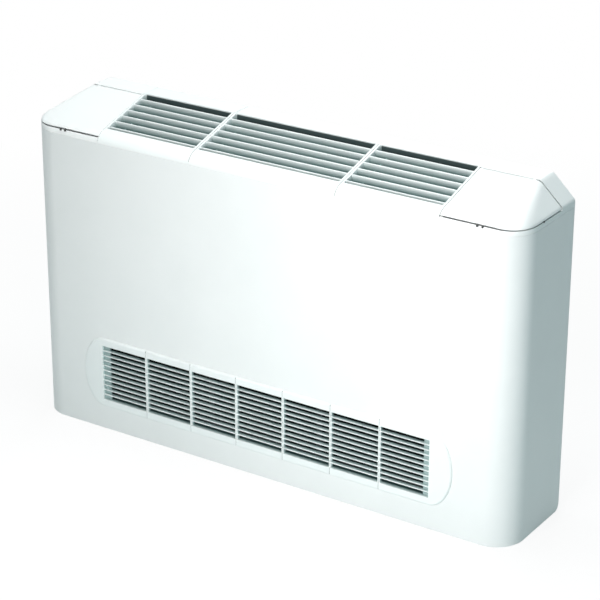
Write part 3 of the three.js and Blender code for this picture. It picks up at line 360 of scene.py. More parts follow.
def shelf_skin():
    """The end cap's skin behind the lid: flat top, end slope and side wall, carried from the
    lid's hinge to the back, then the back wall under it."""
    inward = np.concatenate([
        np.linspace(HALF - SEAM_LUG, 44, 12)[:-1], np.linspace(44, 34, 8)[:-1],
        np.linspace(34, 12, 8)[:-1], 12 * np.linspace(1, 0, 14) ** 1.6])
    y = lines((REAR_EDGE, SHELF_Y + 1.5, 5), (SHELF_Y + 1.5, BACK_Y, 8))
    top = head_point(spread(HALF, y[:, None]), np.pi / 2, inward)
    skin = np.concatenate([top, spread(HALF, y[:, None], WALL_ROWS[1:])], 1)
    skin[:, len(inward) - 1, 2] = WALL_ROWS[0]
    share = (WALL_ROWS[0] - WALL_ROWS) / (WALL_ROWS[0] - HEAD_LOW)
    edge = skin[-1, :len(inward)]
    x, y, z = edge.T
    return together([grid(skin), grid(spread(x, y, z + (HEAD_LOW - z) * share[:, None]))])


def lid_skin():
    """A lid's skin: a band that follows the plan outline from the gap inwards, its rows even
    along the surface, and flat grids that fill the rest, with a notch for each hinge lug."""
    notch_x = HALF - RING
    near_notch, far_notch = SEAM_LUG + LUG + LUG_GAP, OUTER_LUG - LUG_GAP
    xs = lines((SEAM_LUG + 0.15, CORNER_X, 26), near_notch, far_notch)
    ys = lines((CORNER_Y, HINGE_Y, 22), NOTCH_Y)
    feet, turns = plan_path(xs, ys)
    edge = LID_EDGE - LID_CLOSING * np.sin(2 * turns) ** 2
    low = distance_at(feet, turns, edge[:, None])
    fine = low + (RING - low) * np.linspace(0, 1, 401) ** 1.7
    path = head_point(feet[:, None, :], turns[:, None], fine)
    steps = np.linalg.norm(np.diff(path, axis=1), axis=2)
    length = np.concatenate([np.zeros((len(feet), 1)), np.cumsum(steps, 1)], 1)
    share = np.concatenate([[0, 0.012, 0.028], np.linspace(0.05, 0.72, 21), [0.8, 0.9, 1]])
    rows = np.array([np.interp(share * run[-1], run, d) for run, d in zip(length, fine)])
    band = head_point(feet[:, None, :], turns[:, None], rows)
    bent = (feet[:, 0] >= CORNER_X - 1e-6) & (feet[:, 1] <= CORNER_Y + 1e-6)
    hub = head_above([CORNER_X], [CORNER_Y])[0, 0]
    fan = np.stack([np.repeat(hub[None], bent.sum(), 0), band[bent, -1]])
    whole = flipped(together([
        grid(band), grid(fan), grid(head_above(xs, ys)),
        grid(head_above(xs, [FRONT_Y + RING, CORNER_Y])),
        grid(head_above([CORNER_X, notch_x], ys))]))

    def notches(x, y, _):
        """Where the hinge lugs stand."""
        near = (x < near_notch) | ((x > far_notch) & (x < notch_x))
        return near & (y > NOTCH_Y)

    return without(whole, notches)


# ---------------------------------------------------------------- inside the head's ends


def skirt_skin():
    """The head's spigot inside the cabinet: a wall set in from the plan outline, along the
    front, round the corner and most of the way back."""
    inset, stop_y = 1.8, 70
    feet, turns = plan_path(lines((SEAM_LUG, CORNER_X, 4)), lines((CORNER_Y, stop_y, 3)), 12)
    across = feet[:, 0] - inset * np.sin(turns)
    along = feet[:, 1] + inset * np.cos(turns)
    return grid(spread(across[:, None], along[:, None], (SPIGOT_TOP, SPIGOT_LOW)))


def deck_skin(window):
    """The end cap's floor as an open surface: a grid over the straight part, and rows that
    run forward to the corner's circle, with a window over the pipes if asked."""
    radius = CORNER - 2.3
    window_y = FRONT_Y + 2 * NOSE, HINGE_Y - 14
    edge = [SEAM_X + 12, CORNER_X] if window else []
    bend = CORNER_X + radius * np.sin(np.radians(np.linspace(0, 90, 11)))
    x = np.concatenate([lines(SEAM_LUG, *edge, CORNER_X)[:-1], bend])
    y = lines(CORNER_Y, *window_y, BACK_Y - 1.2)
    main = spread(x[:, None], y, DECK_LEVEL)
    drop = np.sqrt(np.maximum(radius**2 - np.maximum(x - CORNER_X, 0) ** 2, 0))
    fore_y = CORNER_Y - drop[:, None] * np.linspace(1, 0, 5)
    fore = spread(x[:, None], fore_y, DECK_LEVEL)
    whole = flipped(together([grid(main), grid(fore)]))
    if not window:
        return whole
    return without(whole, lambda x, y, z: (x > edge[0]) & (x < edge[1])
                   & (y > window_y[0]) & (y < window_y[1]))


def head_profile(inset, foot, start, steps, shift=0.0):
    """The (y, z) profile of the whole head at the outlets, set in by `inset` and cut off at the
    height `foot`: the nose's arc from an angle `start`, the slope, which ends `shift` further
    forward, the flat top and the back."""
    nose = arc(NOSE - inset, FRONT_Y + NOSE, NOSE_LEVEL, start, NOSE_END, steps)
    crease = SHELF_Y - shift
    return np.concatenate([nose, [[crease, slope_level(crease) - inset / math.cos(SLOPE)],
                                  [BACK_Y - inset, HEIGHT - inset],
                                  [BACK_Y - inset, foot], [nose[0, 0], foot]]])[::-1]


def partition():
    """The wall under the seam between end cap and outlet."""
    inset = HEAD_WALL + 0.6
    outline = head_profile(inset, 522.5, 158, 8, shift=inset * math.tan(SLOPE / 2))
    return prism(outline, SEAM_LUG, SEAM_LUG + HEAD_WALL)


def lug(x):
    """A hinge lug: an arm from the shelf with a rounded nose about the hinge axis."""
    radius, root = 2.2, HINGE_Y + 8
    nose = arc(radius, HINGE_Y, HINGE_Z, 90, 270, 10)
    outline = np.concatenate([nose, [[root, HINGE_Z - radius], [root, HINGE_Z + radius]]])
    return prism(outline, x, x + LUG)


PANEL_X, PANEL_Y = (SEAM_X + HALF - END_RUN) / 2, HINGE_Y - 49
PANEL_DROP = 17.5 / math.cos(SLOPE)
SEAT_HALF = 44, 34               # half the size of the seat under the control panel


def seat():
    """The block that carries the controls, its top parallel to the outlet slope."""
    foot, y0, y1 = 523, PANEL_Y - SEAT_HALF[1], PANEL_Y + SEAT_HALF[1]
    outline = [[y0, foot], [y1, foot], [y1, slope_level(y1) - PANEL_DROP],
               [y0, slope_level(y0) - PANEL_DROP]]
    return prism(outline, PANEL_X - SEAT_HALF[0], PANEL_X + SEAT_HALF[0])


def end_cap(name, side):
    """One moulded head end: rim, shelf and back, with its floor, seam wall, lugs and spigot."""
    outside = part(name, on_side(together([rim_band(), shelf_skin()]), side), HEAD_WALL, 0.5)
    floor = part(name + "_floor", on_side(deck_skin(side < 0), side), HEAD_WALL, 0.3)
    spigot = part(name + "_spigot", on_side(skirt_skin(), side), 2.2, 0.3)
    blocks = [partition(), lug(SEAM_LUG), lug(OUTER_LUG)] + ([seat()] if side > 0 else [])
    inside = part(name + "_inside", on_side(together(blocks), side), edge=0.35)
    return fused(name, [outside, floor, spigot, inside])


def lid(name, side):
    """One hinged lid: its skin, and the bead that turns on the hinge rod between the lugs."""
    skin = part(name, on_side(lid_skin(), side), HEAD_WALL, 0.6, segments=3)
    bead = part(name + "_bead", on_side(
        rod(2.6, HINGE_Y, HINGE_Z, SEAM_LUG + LUG + 0.6, OUTER_LUG - 0.6), side))
    return fused(name, [skin, bead])


# ---------------------------------------------------------------- outlet modules

FILLET = 3.0                     # corners of the outlet openings
SEAM_GAP = 0.4                   # from a module's edge to the seam line
OUTLET_EDGES = -3.5, -1.5, 1.5, 3.5       # of the three outlet modules, in units


def outlet_frame(x0, x1):
    """An outlet module's skin: the head's profile carried along X, with a round-cornered
    opening, and the wall that drops from the opening's edge."""
    near, far = x0 + SEAM_GAP, x1 - SEAM_GAP
    a0, a1 = near + OUTLET_RAIL, far - OUTLET_RAIL
    b0, b1 = OUTLET_Y, OUTLET_END
    low_turn = 180 - math.degrees(math.asin((HEAD_LOW - NOSE_LEVEL) / NOSE))
    nose = arc(NOSE, FRONT_Y + NOSE, NOSE_LEVEL, low_turn, NOSE_END, 16)
    run = b0 + FILLET, b1 - FILLET, 12
    y_in = lines(run)
    y_crease, y_shelf, z_back = (46.9, 47.6), (50.5, 69), (567.5, 545, HEAD_LOW)
    y_top = lines(b0, run, *y_crease, SHELF_Y, b1, *y_shelf, BACK_Y - 2, BACK_Y)
    path = np.concatenate([nose, spread(y_top, skin_level(y_top)), spread(BACK_Y, z_back)])
    run = a0 + FILLET, a1 - FILLET, max(4, int((a1 - a0) / 24))
    x_in = lines(run)
    x = lines(near, near + 1.2, a0, run, a1, far - 1.2, far)
    skin = without(flipped(grid(patch(x, path))), lambda x, y, z:
                   (x > a0) & (x < a1) & (y > b0) & (y < b1) & (z > 530))
    cells = 6
    corners = [(a1, b0, -1, 1, -90), (a1, b1, -1, -1, 0), (a0, b1, 1, -1, 90), (a0, b0, 1, 1, 180)]
    rounds = [arc(FILLET, x + u * FILLET, y + v * FILLET, start, start + 90, cells)
              for x, y, u, v, start in corners]

    def lifted(plan):
        """Points of the skin over those of a plan."""
        return spread(*plan.T, skin_level(plan[:, 1]))

    fan = np.array([[0, i, i + 1] for i in range(1, cells + 1)])
    webs = [(lifted(np.concatenate([[corner[:2]], bend[::-1]])), [fan])
            for corner, bend in zip(corners, rounds)]
    edges = [spread(a1, y_in), spread(x_in[::-1], b1), spread(a0, y_in[::-1]), spread(x_in, b0)]
    loop = [step for bend, edge in zip(rounds, edges) for step in (bend, edge[1:-1])]
    x, y, z = lifted(np.concatenate(loop)).T
    drops = np.array([[0], [2], [OUTLET_DROP - 2]])
    return together([skin, *webs, loop_grid(spread(x, y, z - drops))])


def outlet_blade(index, x0, x1):
    """One outlet blade: a leaning strip with a round top edge, thinner at the foot."""
    y = OUTLET_Y + BLADE_FIRST + index * BLADE_PITCH
    z = slope_level(y) - 0.8
    half = BLADE_THICK / 2
    drift = BLADE_HEIGHT * math.tan(BLADE_LEAN)
    crown = arc(half, y, z - half, 0, 180, 10)
    foot = [[y + drift + s * BLADE_FOOT / 2, z - BLADE_HEIGHT] for s in (-1, 1)]
    return prism(np.concatenate([crown, foot]), x0, x1)


def outlet_rib(x):
    """The rib that ties the blades from below, its top parallel to the slope."""
    y0, y1, deep, shallow, half = OUTLET_Y - 1, OUTLET_END + 1, 24, 11, 0.9
    return prism([[y0, slope_level(y0) - deep], [y1, slope_level(y1) - deep],
                  [y1, slope_level(y1) - shallow], [y0, slope_level(y0) - shallow]],
                 x - half, x + half)


def outlet_module(name, start, stop):
    """A whole outlet module: frame, blades, rib and the lip inside the cabinet."""
    x0, x1 = start * MODULE, stop * MODULE
    frame_skin = part(name, outlet_frame(x0, x1), 2.4, 0.75, segments=3)
    ends = x0 + OUTLET_RAIL - 0.5, x1 - OUTLET_RAIL + 0.5
    blades = [outlet_blade(i, *ends) for i in range(BLADES)]
    ribs = [outlet_rib(x0 + OUTLET_RAIL + 20)]
    lip = [block(x0 + 0.2, x1 - 0.2, FRONT_Y + 1.8, FRONT_Y + 4, SPIGOT_LOW, SPIGOT_TOP)]
    inside = part(name + "_blades", together(blades + ribs + lip), sharp=50)
    return fused(name, [frame_skin, inside])


def head_gaskets():
    """Foam let into the four seams of the head: the head's profile, set in a little."""
    outline, half, outer = head_profile(0.3, 524, 156, 12), 0.36, 0.1
    spans = [(-SEAM_X - outer, -SEAM_X + half), (SEAM_X - half, SEAM_X + outer)]
    spans += [(k * MODULE - half, k * MODULE + half) for k in OUTLET_EDGES[1:-1]]
    return part("head_gaskets", together([prism(outline, *span) for span in spans]))


def intake_gaskets():
    """Foam let into the six seams of the intake's bands."""
    half, outer, inner = 0.28, 1.5, 0.6
    forms = [block(k * MODULE - half, k * MODULE + half, FACE_Y + 0.3, FRONT_Y + 8, z0, z1)
             for k in np.arange(1, MODULES) - MODULES / 2
             for z0, z1 in ((INTAKE_LOW + outer, SLOTS_LOW - inner),
                            (SLOTS_TOP + inner, INTAKE_TOP - outer))]
    return part("intake_gaskets", together(forms))


def lid_stops():
    """Small rubber stops on the rim, in the gap under the front and the side of each lid."""
    low, high, size, front_x, side_y = 527.9, 530.8, 2.6, (386.0, 395.0), -14.6
    stops = [block(x, x + size, FRONT_Y - 0.08, FRONT_Y + size, low, high) for x in front_x]
    stops.append(block(HALF - size, HALF + 0.04, side_y, side_y + size, low, high))
    forms = [on_side(stop, side) for side in (-1, 1) for stop in stops]
    return part("lid_stops", together(forms), edge=0.1)


# ---------------------------------------------------------------- cabinet


def cabinet():
    """The folded steel cabinet: the plan outline carried up in rows, its foot lifted by a
    quarter circle at the rear corners, less the faces of the intake opening, with a return
    along each rear edge."""
    open_x, open_low, open_top = SEAM_X + 5.1, 52.6, 163.4
    heel, above_heel = 13.0, 15.5
    bend = BACK_Y - heel + heel * np.sin(np.radians(np.linspace(0, 90, 9)))
    side_y = np.concatenate([lines((CORNER_Y, BACK_Y - heel, 6))[:-1], bend])
    front_x = lines(-open_x - 1, -open_x, (-open_x, open_x, 14), open_x, open_x + 1)
    front_x = np.concatenate([[-CORNER_X], front_x, [CORNER_X]])
    feet, _ = plan_path(front_x, side_y)
    outline = np.concatenate([(feet[len(front_x):] * [-1, 1])[::-1], feet])
    x, y = outline.T[:, :, None]
    low = np.where(y > BACK_Y - heel,
                   heel - np.sqrt(np.maximum(heel**2 - (y - BACK_Y + heel) ** 2, 0)), 0)
    levels = lines(above_heel, open_low - 1, open_low, (open_low, open_top, 4), open_top + 1,
                   (open_top + 1, CABINET_TOP - 1.5, 10), CABINET_TOP)
    z = np.concatenate([low, 0 * low + levels], 1)
    skin = without(flipped(grid(spread(x, y, z))), lambda x, y, z: (np.abs(x) < open_x)
                   & (z > open_low) & (z < open_top) & (y < 0))
    sheet = part("cabinet_sheet", skin, SHEET, 0.35)
    back, fold = BACK_Y - 1.8, (HALF - 16, HALF - 0.8)
    returns = [block(*sorted((side * fold[0], side * fold[1])), back - SHEET, back, 6, CABINET_TOP)
               for side in (-1, 1)]
    return fused("cabinet_sheet", [sheet, part("cabinet_returns", together(returns), edge=0.4)])


# ---------------------------------------------------------------- intake modules

INTAKE_TOP = INTAKE_LOW + INTAKE_HEIGHT
SLOTS_LOW, SLOTS_TOP = INTAKE_LOW + INTAKE_BAND, INTAKE_TOP - INTAKE_BAND
INTAKE_MID, INTAKE_HALF = INTAKE_LOW + INTAKE_HEIGHT / 2, INTAKE_HEIGHT / 2
TOP_ROUND, LOW_ROUND = 4.2, 2.5  # the frame's edge, and its lower edge about the pivot
INTAKE_GAP = 0.32                # from a module's edge to the seam line


def edge_rounding(turn):
    """Radius and first angle of the frame's rounded edge, from the outline's turn: -1 at the
    bottom, 1 at the top. The lower edge is tighter, so that it can swing about its pivot."""
    share = np.clip((turn + 1) / 0.35, 0, 1)
    share = share * share * (3 - 2 * share)
    return LOW_ROUND + (TOP_ROUND - LOW_ROUND) * share, np.radians(14) * (1 - share)


def edge_rows(turn):
    """Distances inside the outline and places in y of the rounded edge's rows."""
    radius, first = edge_rounding(turn)
    angle = first + (np.pi / 2 - first) * np.linspace(0, 1, 9)
    return radius * (1 - np.cos(angle)), FACE_Y + radius - radius * np.sin(angle)


def face_levels():
    """Heights on the frame's flat face that a lobe and the module beside it share, with the
    turns of the lobe's outline that give them."""
    fine = np.radians(np.linspace(-90, 90, 9001))
    normal = np.cos(fine) / INTAKE_END, np.sin(fine) / INTAKE_HALF
    inset = edge_rounding(np.sin(fine))[0] * normal[1] / np.hypot(*normal)
    z = INTAKE_MID + INTAKE_HALF * np.sin(fine) - inset
    shared = np.interp([SLOTS_LOW, SLOTS_TOP], z, fine)
    angle = np.radians(np.linspace(-90, 90, 61))
    apart = np.abs(angle[:, None] - shared).min(1) > 0.01
    return np.sort(np.concatenate([angle[apart], shared]))


def lobe_skin():
    """The frame's right end: half an ellipse, whose points move in along its normals by the
    rows of the rounded edge, and a flat face. Gives the face's heights as well."""
    rim, face = [], []
    for angle in face_levels():
        d, y = edge_rows(math.sin(angle))
        normal = np.array([math.cos(angle) / INTAKE_END, math.sin(angle) / INTAKE_HALF])
        normal /= np.hypot(*normal)
        x = SEAM_X + INTAKE_END * math.cos(angle) - d * normal[0]
        z = INTAKE_MID + INTAKE_HALF * math.sin(angle) - d * normal[1]
        rim.append(spread(np.maximum(x, SEAM_X), y, z))
        face.append([[max(x[-1], SEAM_X), FACE_Y, z[-1]], [SEAM_X, FACE_Y, z[-1]]])
    return flipped(together([grid(np.array(rim)), grid(np.array(face))])), np.array(face)[:, 1, 2]


def intake_skin(x0, x1, lobe):
    """An intake module's upper and lower bands, the walls that go back from them, and on the
    last module the rounded lobe and the wall where the slots end."""
    a1 = SEAM_X if lobe else x1
    d_low, y_low = edge_rows(-1.0)
    d_top, y_top = edge_rows(1.0)
    lobe_form, shared = lobe_skin()
    middle = shared[1:-1] if lobe else lines(SLOTS_LOW, (SLOTS_LOW, SLOTS_TOP, 3), SLOTS_TOP)
    z = np.concatenate([INTAKE_LOW + d_low, middle, (INTAKE_TOP - d_top)[::-1]])
    y = np.concatenate([y_low, np.full(len(middle), FACE_Y), y_top[::-1]])
    x = lines(x0, x0 + 0.9, (x0 + 0.9, a1 - 0.9, 4), a1 - 0.9, a1)
    face = without(flipped(grid(patch(x, spread(y, z)))), lambda x, y, z:
                   (z > SLOTS_LOW) & (z < SLOTS_TOP))
    low, top = spread(x, SLOTS_LOW), spread(x[::-1], SLOTS_TOP)
    upright = spread(a1, z[(z > SLOTS_LOW + 1e-3) & (z < SLOTS_TOP - 1e-3)])
    walls = [np.concatenate([low, upright, top])] if lobe else [low, top]
    depths = np.array([[FACE_Y], [FACE_Y + 2], [FRONT_Y + 12]])
    returns = [grid(spread(wall[:, 0], depths, wall[:, 1])) for wall in walls]
    return together([face, *([lobe_form] if lobe else []), *returns])


def slot_blade(index, x0, x1):
    """One flat horizontal blade with a round front edge, thinner at the back."""
    z = SLOTS_LOW + (SLOTS_TOP - SLOTS_LOW) * (index + 1) / SLOTS
    nose = arc(0.8, FACE_Y + 1.3, z, 90, 270, 8)
    back, half = FACE_Y + 9.0, 0.6
    return prism(np.concatenate([nose, [[back, z - half], [back, z + half]]]), x0, x1)


def slot_rib(x0, x1, front, back):
    """An upright strip behind the front edges of the blades, between the two bands."""
    return block(x0, x1, FACE_Y + front, FACE_Y + back, SLOTS_LOW - 0.8, SLOTS_TOP + 0.8)


def intake_module(index):
    """A whole intake module: bands, blades that run out to the seams, a wall at each end behind
    their front edges, pivot bead. The end modules are mirror images, with a web by the lobe."""
    name = f"intake_module_{index + 1}"
    side, last = (-1 if index == 0 else 1), MODULES - 1
    from_x = ((index or last) - MODULES / 2) * MODULE
    x0, x1 = from_x + INTAKE_GAP, from_x + MODULE - INTAKE_GAP
    lobe = index in (0, last)
    skin = part(name, on_side(intake_skin(x0, x1, lobe), side), 2.0, 0.8, segments=3)
    blades = [slot_blade(i, x0, SEAM_X + 0.8 if lobe else x1) for i in range(SLOTS - 1)]
    rib, depths = 1.9, (1.8, 9.4)
    ribs = [slot_rib(x0, x0 + rib, *depths),
            slot_rib(x1 - 12.3, x1 + 0.8, 5.8, 9.2) if lobe else slot_rib(x1 - rib, x1, *depths)]
    bead = [rod(1.7, FACE_Y + 2.5, INTAKE_LOW + 2.5, x0, min(x1, SEAM_X), sides=16, bevel=0.1)]
    inside = part(name + "_blades", on_side(together(blades + ribs + bead), side), sharp=50)
    return fused(name, [skin, inside])


# ---------------------------------------------------------------- controls under the right lid

PANEL_Z = slope_level(PANEL_Y) - PANEL_DROP
PANEL_FACE = 2.8                 # top of the control panel above its seat
KNOBS = {"thermostat": -26.0, "speed": 26.0}
MARK_RISE, NUMBER_SIZE = 0.15, 4.2        # the marks above the panel's top, and their digits
MARK_LEVELS = np.array([PANEL_FACE - 0.2, PANEL_FACE + MARK_RISE])
TICK_START, LONG_TICK, SHORT_TICK = 14.2, (16.4, 0.3), (15.3, 0.18)
TICKS = {"thermostat": np.linspace(-135, 135, 19), "speed": np.array([-90, -45, 0, 45])}
NUMBERS = [("thermostat", "1", -135, 19.2), ("thermostat", "2", -45, 19.2),
           ("thermostat", "3", 45, 19.2), ("thermostat", "4", 135, 19.2),
           ("speed", "0", -72, 17.2), ("speed", "1", -45, 19.2),
           ("speed", "2", 0, 19.2), ("speed", "3", 45, 19.2)]


def on_panel(form):
    """A form drawn on the control panel (z up from its seat), turned with the outlet slope."""
    points, groups = form
    x, y, z = points.T
    across, up = math.cos(SLOPE), math.sin(SLOPE)
    return spread(PANEL_X + x, PANEL_Y + y * across - z * up,
                  PANEL_Z + y * up + z * across), groups


def turned(profile, x=0.0, sides=96, ripple=None, caps=True):
    """A solid of revolution about a vertical axis at x: radius and height come from the
    profile's rows, and `ripple` takes a wave off the radius: (depth, count, rows)."""
    profile = np.asarray(profile, float)
    angle = np.linspace(0, 2 * np.pi, sides, endpoint=False)
    radius = np.repeat(profile[:, :1], sides, 1)
    if ripple:
        depth, count, rows = ripple
        radius[rows] -= depth * (0.5 - 0.5 * np.cos(count * angle)) ** 2
    return loop_grid(spread(x + radius * np.cos(angle), radius * np.sin(angle),
                            profile[:, 1:]), caps)


def knob(name, x):
    """A control knob: a dial turned from its profile with a wave round the rim, a grip bar of
    superellipse rings across it, and a stem."""
    edge, shoulder, bevel = 12.7, 7.8, 1.3
    rim = [[12.3, 3.1], [13, 3.6], [13, 5.2], [12.9, 6.6], [edge, shoulder]]
    crown = arc(bevel, edge - bevel, shoulder, 15, 90, 5)
    dial = part(name, on_panel(turned(
        [*rim, *crown], x, ripple=(0.55, 32, slice(len(rim))))), sharp=50)
    length, half = 11.9, 3.0
    turn = np.linspace(0, 2 * np.pi, 48, endpoint=False)
    wide = half * np.sign(np.cos(turn)) * np.abs(np.cos(turn)) ** 0.7
    long = length * np.sign(np.sin(turn)) * np.abs(np.sin(turn)) ** 0.35
    scale, z = np.array([[1.25, 8.6], [1.08, 9.3], [1.0, 10.2], [0.95, 11.3], [0.84, 11.9],
                         [0.7, 12.1]]).T[:, :, None]
    rings = spread(x + wide * scale, long * np.minimum(scale, 1), z)
    grip = part(name + "_grip", on_panel(loop_grid(rings, caps=True)), sharp=40)
    stem = part(name + "_stem", on_panel(turned([[3, -6.9], [3, 3.2]], x, 32)), sharp=40)
    return fused(name, [dial, grip, stem])


def pointer(name, x):
    """The white line let into the end of a knob's grip."""
    return part(name, on_panel(block(x - 0.55, x + 0.55, 4.5, 10.9, 11.9, 12.25)), edge=0.1)


def press_button():
    """The power button: a domed cap on the flange that keeps it in the switch block."""
    dome = [[6.0 * math.cos(a), 5.3 + 1.0 * math.sin(a)] for a in np.radians(np.linspace(0, 88, 9))]
    return part("press_button", on_panel(turned([[7.5, -1.2], [7.5, 0], [6, 0.01]] + dome, 0, 64)))


def tick(centre, angle, stop, half):
    """A raised radial mark on the panel, from TICK_START to `stop`, 2 * `half` wide."""
    out = np.array([math.sin(angle), math.cos(angle)])
    side = np.array([out[1], -out[0]]) * half
    x, y = np.array([out * TICK_START - side, out * TICK_START + side,
                     out * stop + side, out * stop - side]).T
    return loop_grid(spread(centre + x, y, MARK_LEVELS[:, None]), caps=True)


def number(text, centre, angle, reach):
    """A raised number on the panel, `reach` from a knob's centre in the direction of angle."""
    curve = bpy.data.curves.new("number", "FONT")
    curve.body, curve.size, curve.extrude = text, NUMBER_SIZE, MARK_RISE
    curve.align_x, curve.align_y = "CENTER", "CENTER"
    shape = linked("number", curve)
    bpy.context.view_layer.update()
    mesh = bpy.data.meshes.new_from_object(shape)
    bpy.data.objects.remove(shape)
    places = np.empty(len(mesh.vertices) * 3)
    mesh.vertices.foreach_get("co", places)
    places = places.reshape(-1, 3)
    places += [centre + reach * math.sin(angle), reach * math.cos(angle), PANEL_FACE]
    mesh.vertices.foreach_set("co", (on_panel((places, []))[0] * MM).ravel())
    mesh.update()
    return linked("number_" + text, mesh)


def dial_marks():
    """Raised marks on the control panel: ticks round each knob where its pointer can stand, a
    ring round the button, and numbers from 1 to 4 and from 0 to 3."""
    forms = []
    for label, angles in TICKS.items():
        for i, angle in enumerate(np.radians(angles)):
            long = label == "speed" or i % 6 == 0
            forms.append(tick(KNOBS[label], angle, *(LONG_TICK if long else SHORT_TICK)))
    (inner, outer), (foot, top) = (7.6, 8.3), MARK_LEVELS
    ring = [[inner, foot], [outer, foot], [outer, top], [inner, top], [inner, foot]]
    forms.append(turned(ring, sides=64, caps=False))
    marks = [part("dial_marks", on_panel(together(forms)), sharp=30, recalc=True)]
    marks += [number(text, KNOBS[label], math.radians(angle), reach)
              for label, text, angle, reach in NUMBERS]
    return fused("dial_marks", marks)


def screws(places):
    """Low domed screw heads on the rear panel, each a disc of rings whose height is a shallow
    dome less a cross: the recess of a cross-head driver."""
    radius, rise, recess, half, reach = 3.6, 0.75, 0.6, 0.55, 1.9
    r = radius * np.linspace(0, 1, 19)[:, None] ** 0.9
    turn = np.linspace(0, 2 * np.pi, 72, endpoint=False)
    u, v = r * np.cos(turn), r * np.sin(turn)
    dome = rise * np.sqrt(np.maximum(1 - (r / 3.75) ** 2, 0))
    arms = [np.clip((half - np.abs(a)) / 0.15, 0, 1) * np.clip((reach - np.abs(b)) / 0.3, 0, 1)
            for a, b in ((u, v), (v, u))]
    height = dome - recess * np.maximum(*arms)
    forms = []
    for x, z in places:
        rings = spread(x + u, BACK_Y + height, z + v)
        flange = rings[-1:] - [0, height[-1, 0] + 0.4, 0]
        forms.append(loop_grid(np.concatenate([rings, flange])))
    return part("rear_screws", together(forms), sharp=50)


# ---------------------------------------------------------------- finishes


def add(tree, kind, sockets=None, **settings):
    """A new shader node. `settings` are its own choices; `sockets` maps an input's name or
    number to a value, or to another node's output."""
    node = tree.nodes.new("ShaderNode" + kind)
    for key, value in settings.items():
        setattr(node, key, value)
    for key, value in (sockets or {}).items():
        if isinstance(value, bpy.types.NodeSocket):
            tree.links.new(value, node.inputs[key])
        else:
            node.inputs[key].default_value = value
    return node


def maths(tree, operation, *values, **settings):
    """The result of a Math node on numbers or sockets."""
    return add(tree, "Math", dict(enumerate(values)), operation=operation, **settings).outputs[0]


def vectors(tree, operation, *values):
    """The result of a VectorMath node: a number for a dot product or a length."""
    node = add(tree, "VectorMath", dict(enumerate(values)), operation=operation)
    return node.outputs["Value" if operation in ("DOT_PRODUCT", "LENGTH") else "Vector"]


def noise(tree, at, scale, detail, roughness=0.5):
    """A noise texture read at a place."""
    return add(tree, "TexNoise", {"Vector": at, "Scale": scale, "Detail": detail,
                                  "Roughness": roughness})


def ramp(tree, value, low, high, first=0.0, last=1.0):
    """A number that runs from first to last as the value runs from low to high."""
    return add(tree, "MapRange", {"Value": value, "From Min": low, "From Max": high,
                                  "To Min": first, "To Max": last}).outputs[0]


def mixed(tree, share, first, second):
    """A mix of two colours, each a triple or another node's output."""
    ends = [one if isinstance(one, bpy.types.NodeSocket) else (*one, 1) for one in (first, second)]
    return add(tree, "Mix", {"Factor": share, "A": ends[0], "B": ends[1]},
               data_type="RGBA").outputs["Result"]


def effect(name, inputs, outputs):
    """An empty node group that takes a place and the named inputs, each a number or a vector,
    and gives the named numbers: its tree, its inputs and its output node."""
    tree = bpy.data.node_groups.new(name, "ShaderNodeTree")
    tree.interface.new_socket("Place", in_out="INPUT", socket_type="NodeSocketVector")
    for label, value in inputs.items():
        kind = "Vector" if isinstance(value, tuple) else "Float"
        socket = tree.interface.new_socket(label, in_out="INPUT", socket_type="NodeSocket" + kind)
        socket.default_value = value
    for label in outputs:
        tree.interface.new_socket(label, in_out="OUTPUT", socket_type="NodeSocketFloat")
    return tree, tree.nodes.new("NodeGroupInput").outputs, tree.nodes.new("NodeGroupOutput")


def finished(tree, end, **results):
    """The effect's tree, once its results are wired to its outputs."""
    for label, socket in results.items():
        tree.links.new(socket, end.inputs[label.replace("_", " ")])
    return tree


def grain_effect():
    """Moulded or sprayed skin: small rounded cells over soft waves as a height, and a slow
    drift of tone over the piece."""
    tree, start, end = effect("skin_grain", {"Cells": 900.0, "Drift": 6.0}, ("Height", "Tone"))
    cells = add(tree, "TexVoronoi", {"Vector": start["Place"], "Scale": start["Cells"],
                                     "Randomness": 1.0}, feature="SMOOTH_F1")
    waves = noise(tree, start["Place"], start["Cells"], 2.0)
    drift = noise(tree, start["Place"], start["Drift"], 4.0, 0.6)
    return finished(tree, end, Tone=ramp(tree, drift.outputs["Fac"], 0.35, 0.65),
                    Height=maths(tree, "ADD", cells.outputs["Distance"], waves.outputs["Fac"]))


def spangle_effect():
    """Zinc crystals: each Voronoi cell has its own tone, broken up by a finer layer."""
    tree, start, end = effect("zinc_spangle", {"Crystals": 110.0}, ("Tone", "Height"))
    bend = noise(tree, start["Place"], 60.0, 2.0)
    shift = vectors(tree, "MULTIPLY", bend.outputs["Color"], (0.004, 0.004, 0.004))
    moved = vectors(tree, "ADD", start["Place"], shift)
    coarse = add(tree, "TexVoronoi", {"Vector": moved, "Scale": start["Crystals"]})
    fine = noise(tree, start["Place"], 900.0, 3.0)
    split = add(tree, "SeparateColor", {"Color": coarse.outputs["Color"]})
    tone = add(tree, "Mix", {"Factor": 0.3, "A": split.outputs[0], "B": fine.outputs["Fac"]},
               data_type="FLOAT")
    return finished(tree, end, Tone=tone.outputs[0], Height=coarse.outputs["Distance"])


def drawn_effect():
    """Lines left by rolling, drawing or turning: noise stretched along one direction."""
    tree, start, end = effect("drawn_lines", {"Stretch": (1.0, 1.0, 1.0)}, ("Lines", "Tarnish"))
    along = vectors(tree, "MULTIPLY", start["Place"], start["Stretch"])
    stain = noise(tree, start["Place"], 45.0, 5.0, 0.65)
    return finished(tree, end, Lines=noise(tree, along, 1.0, 3.0).outputs["Fac"],
                    Tarnish=ramp(tree, stain.outputs["Fac"], 0.48, 0.68))


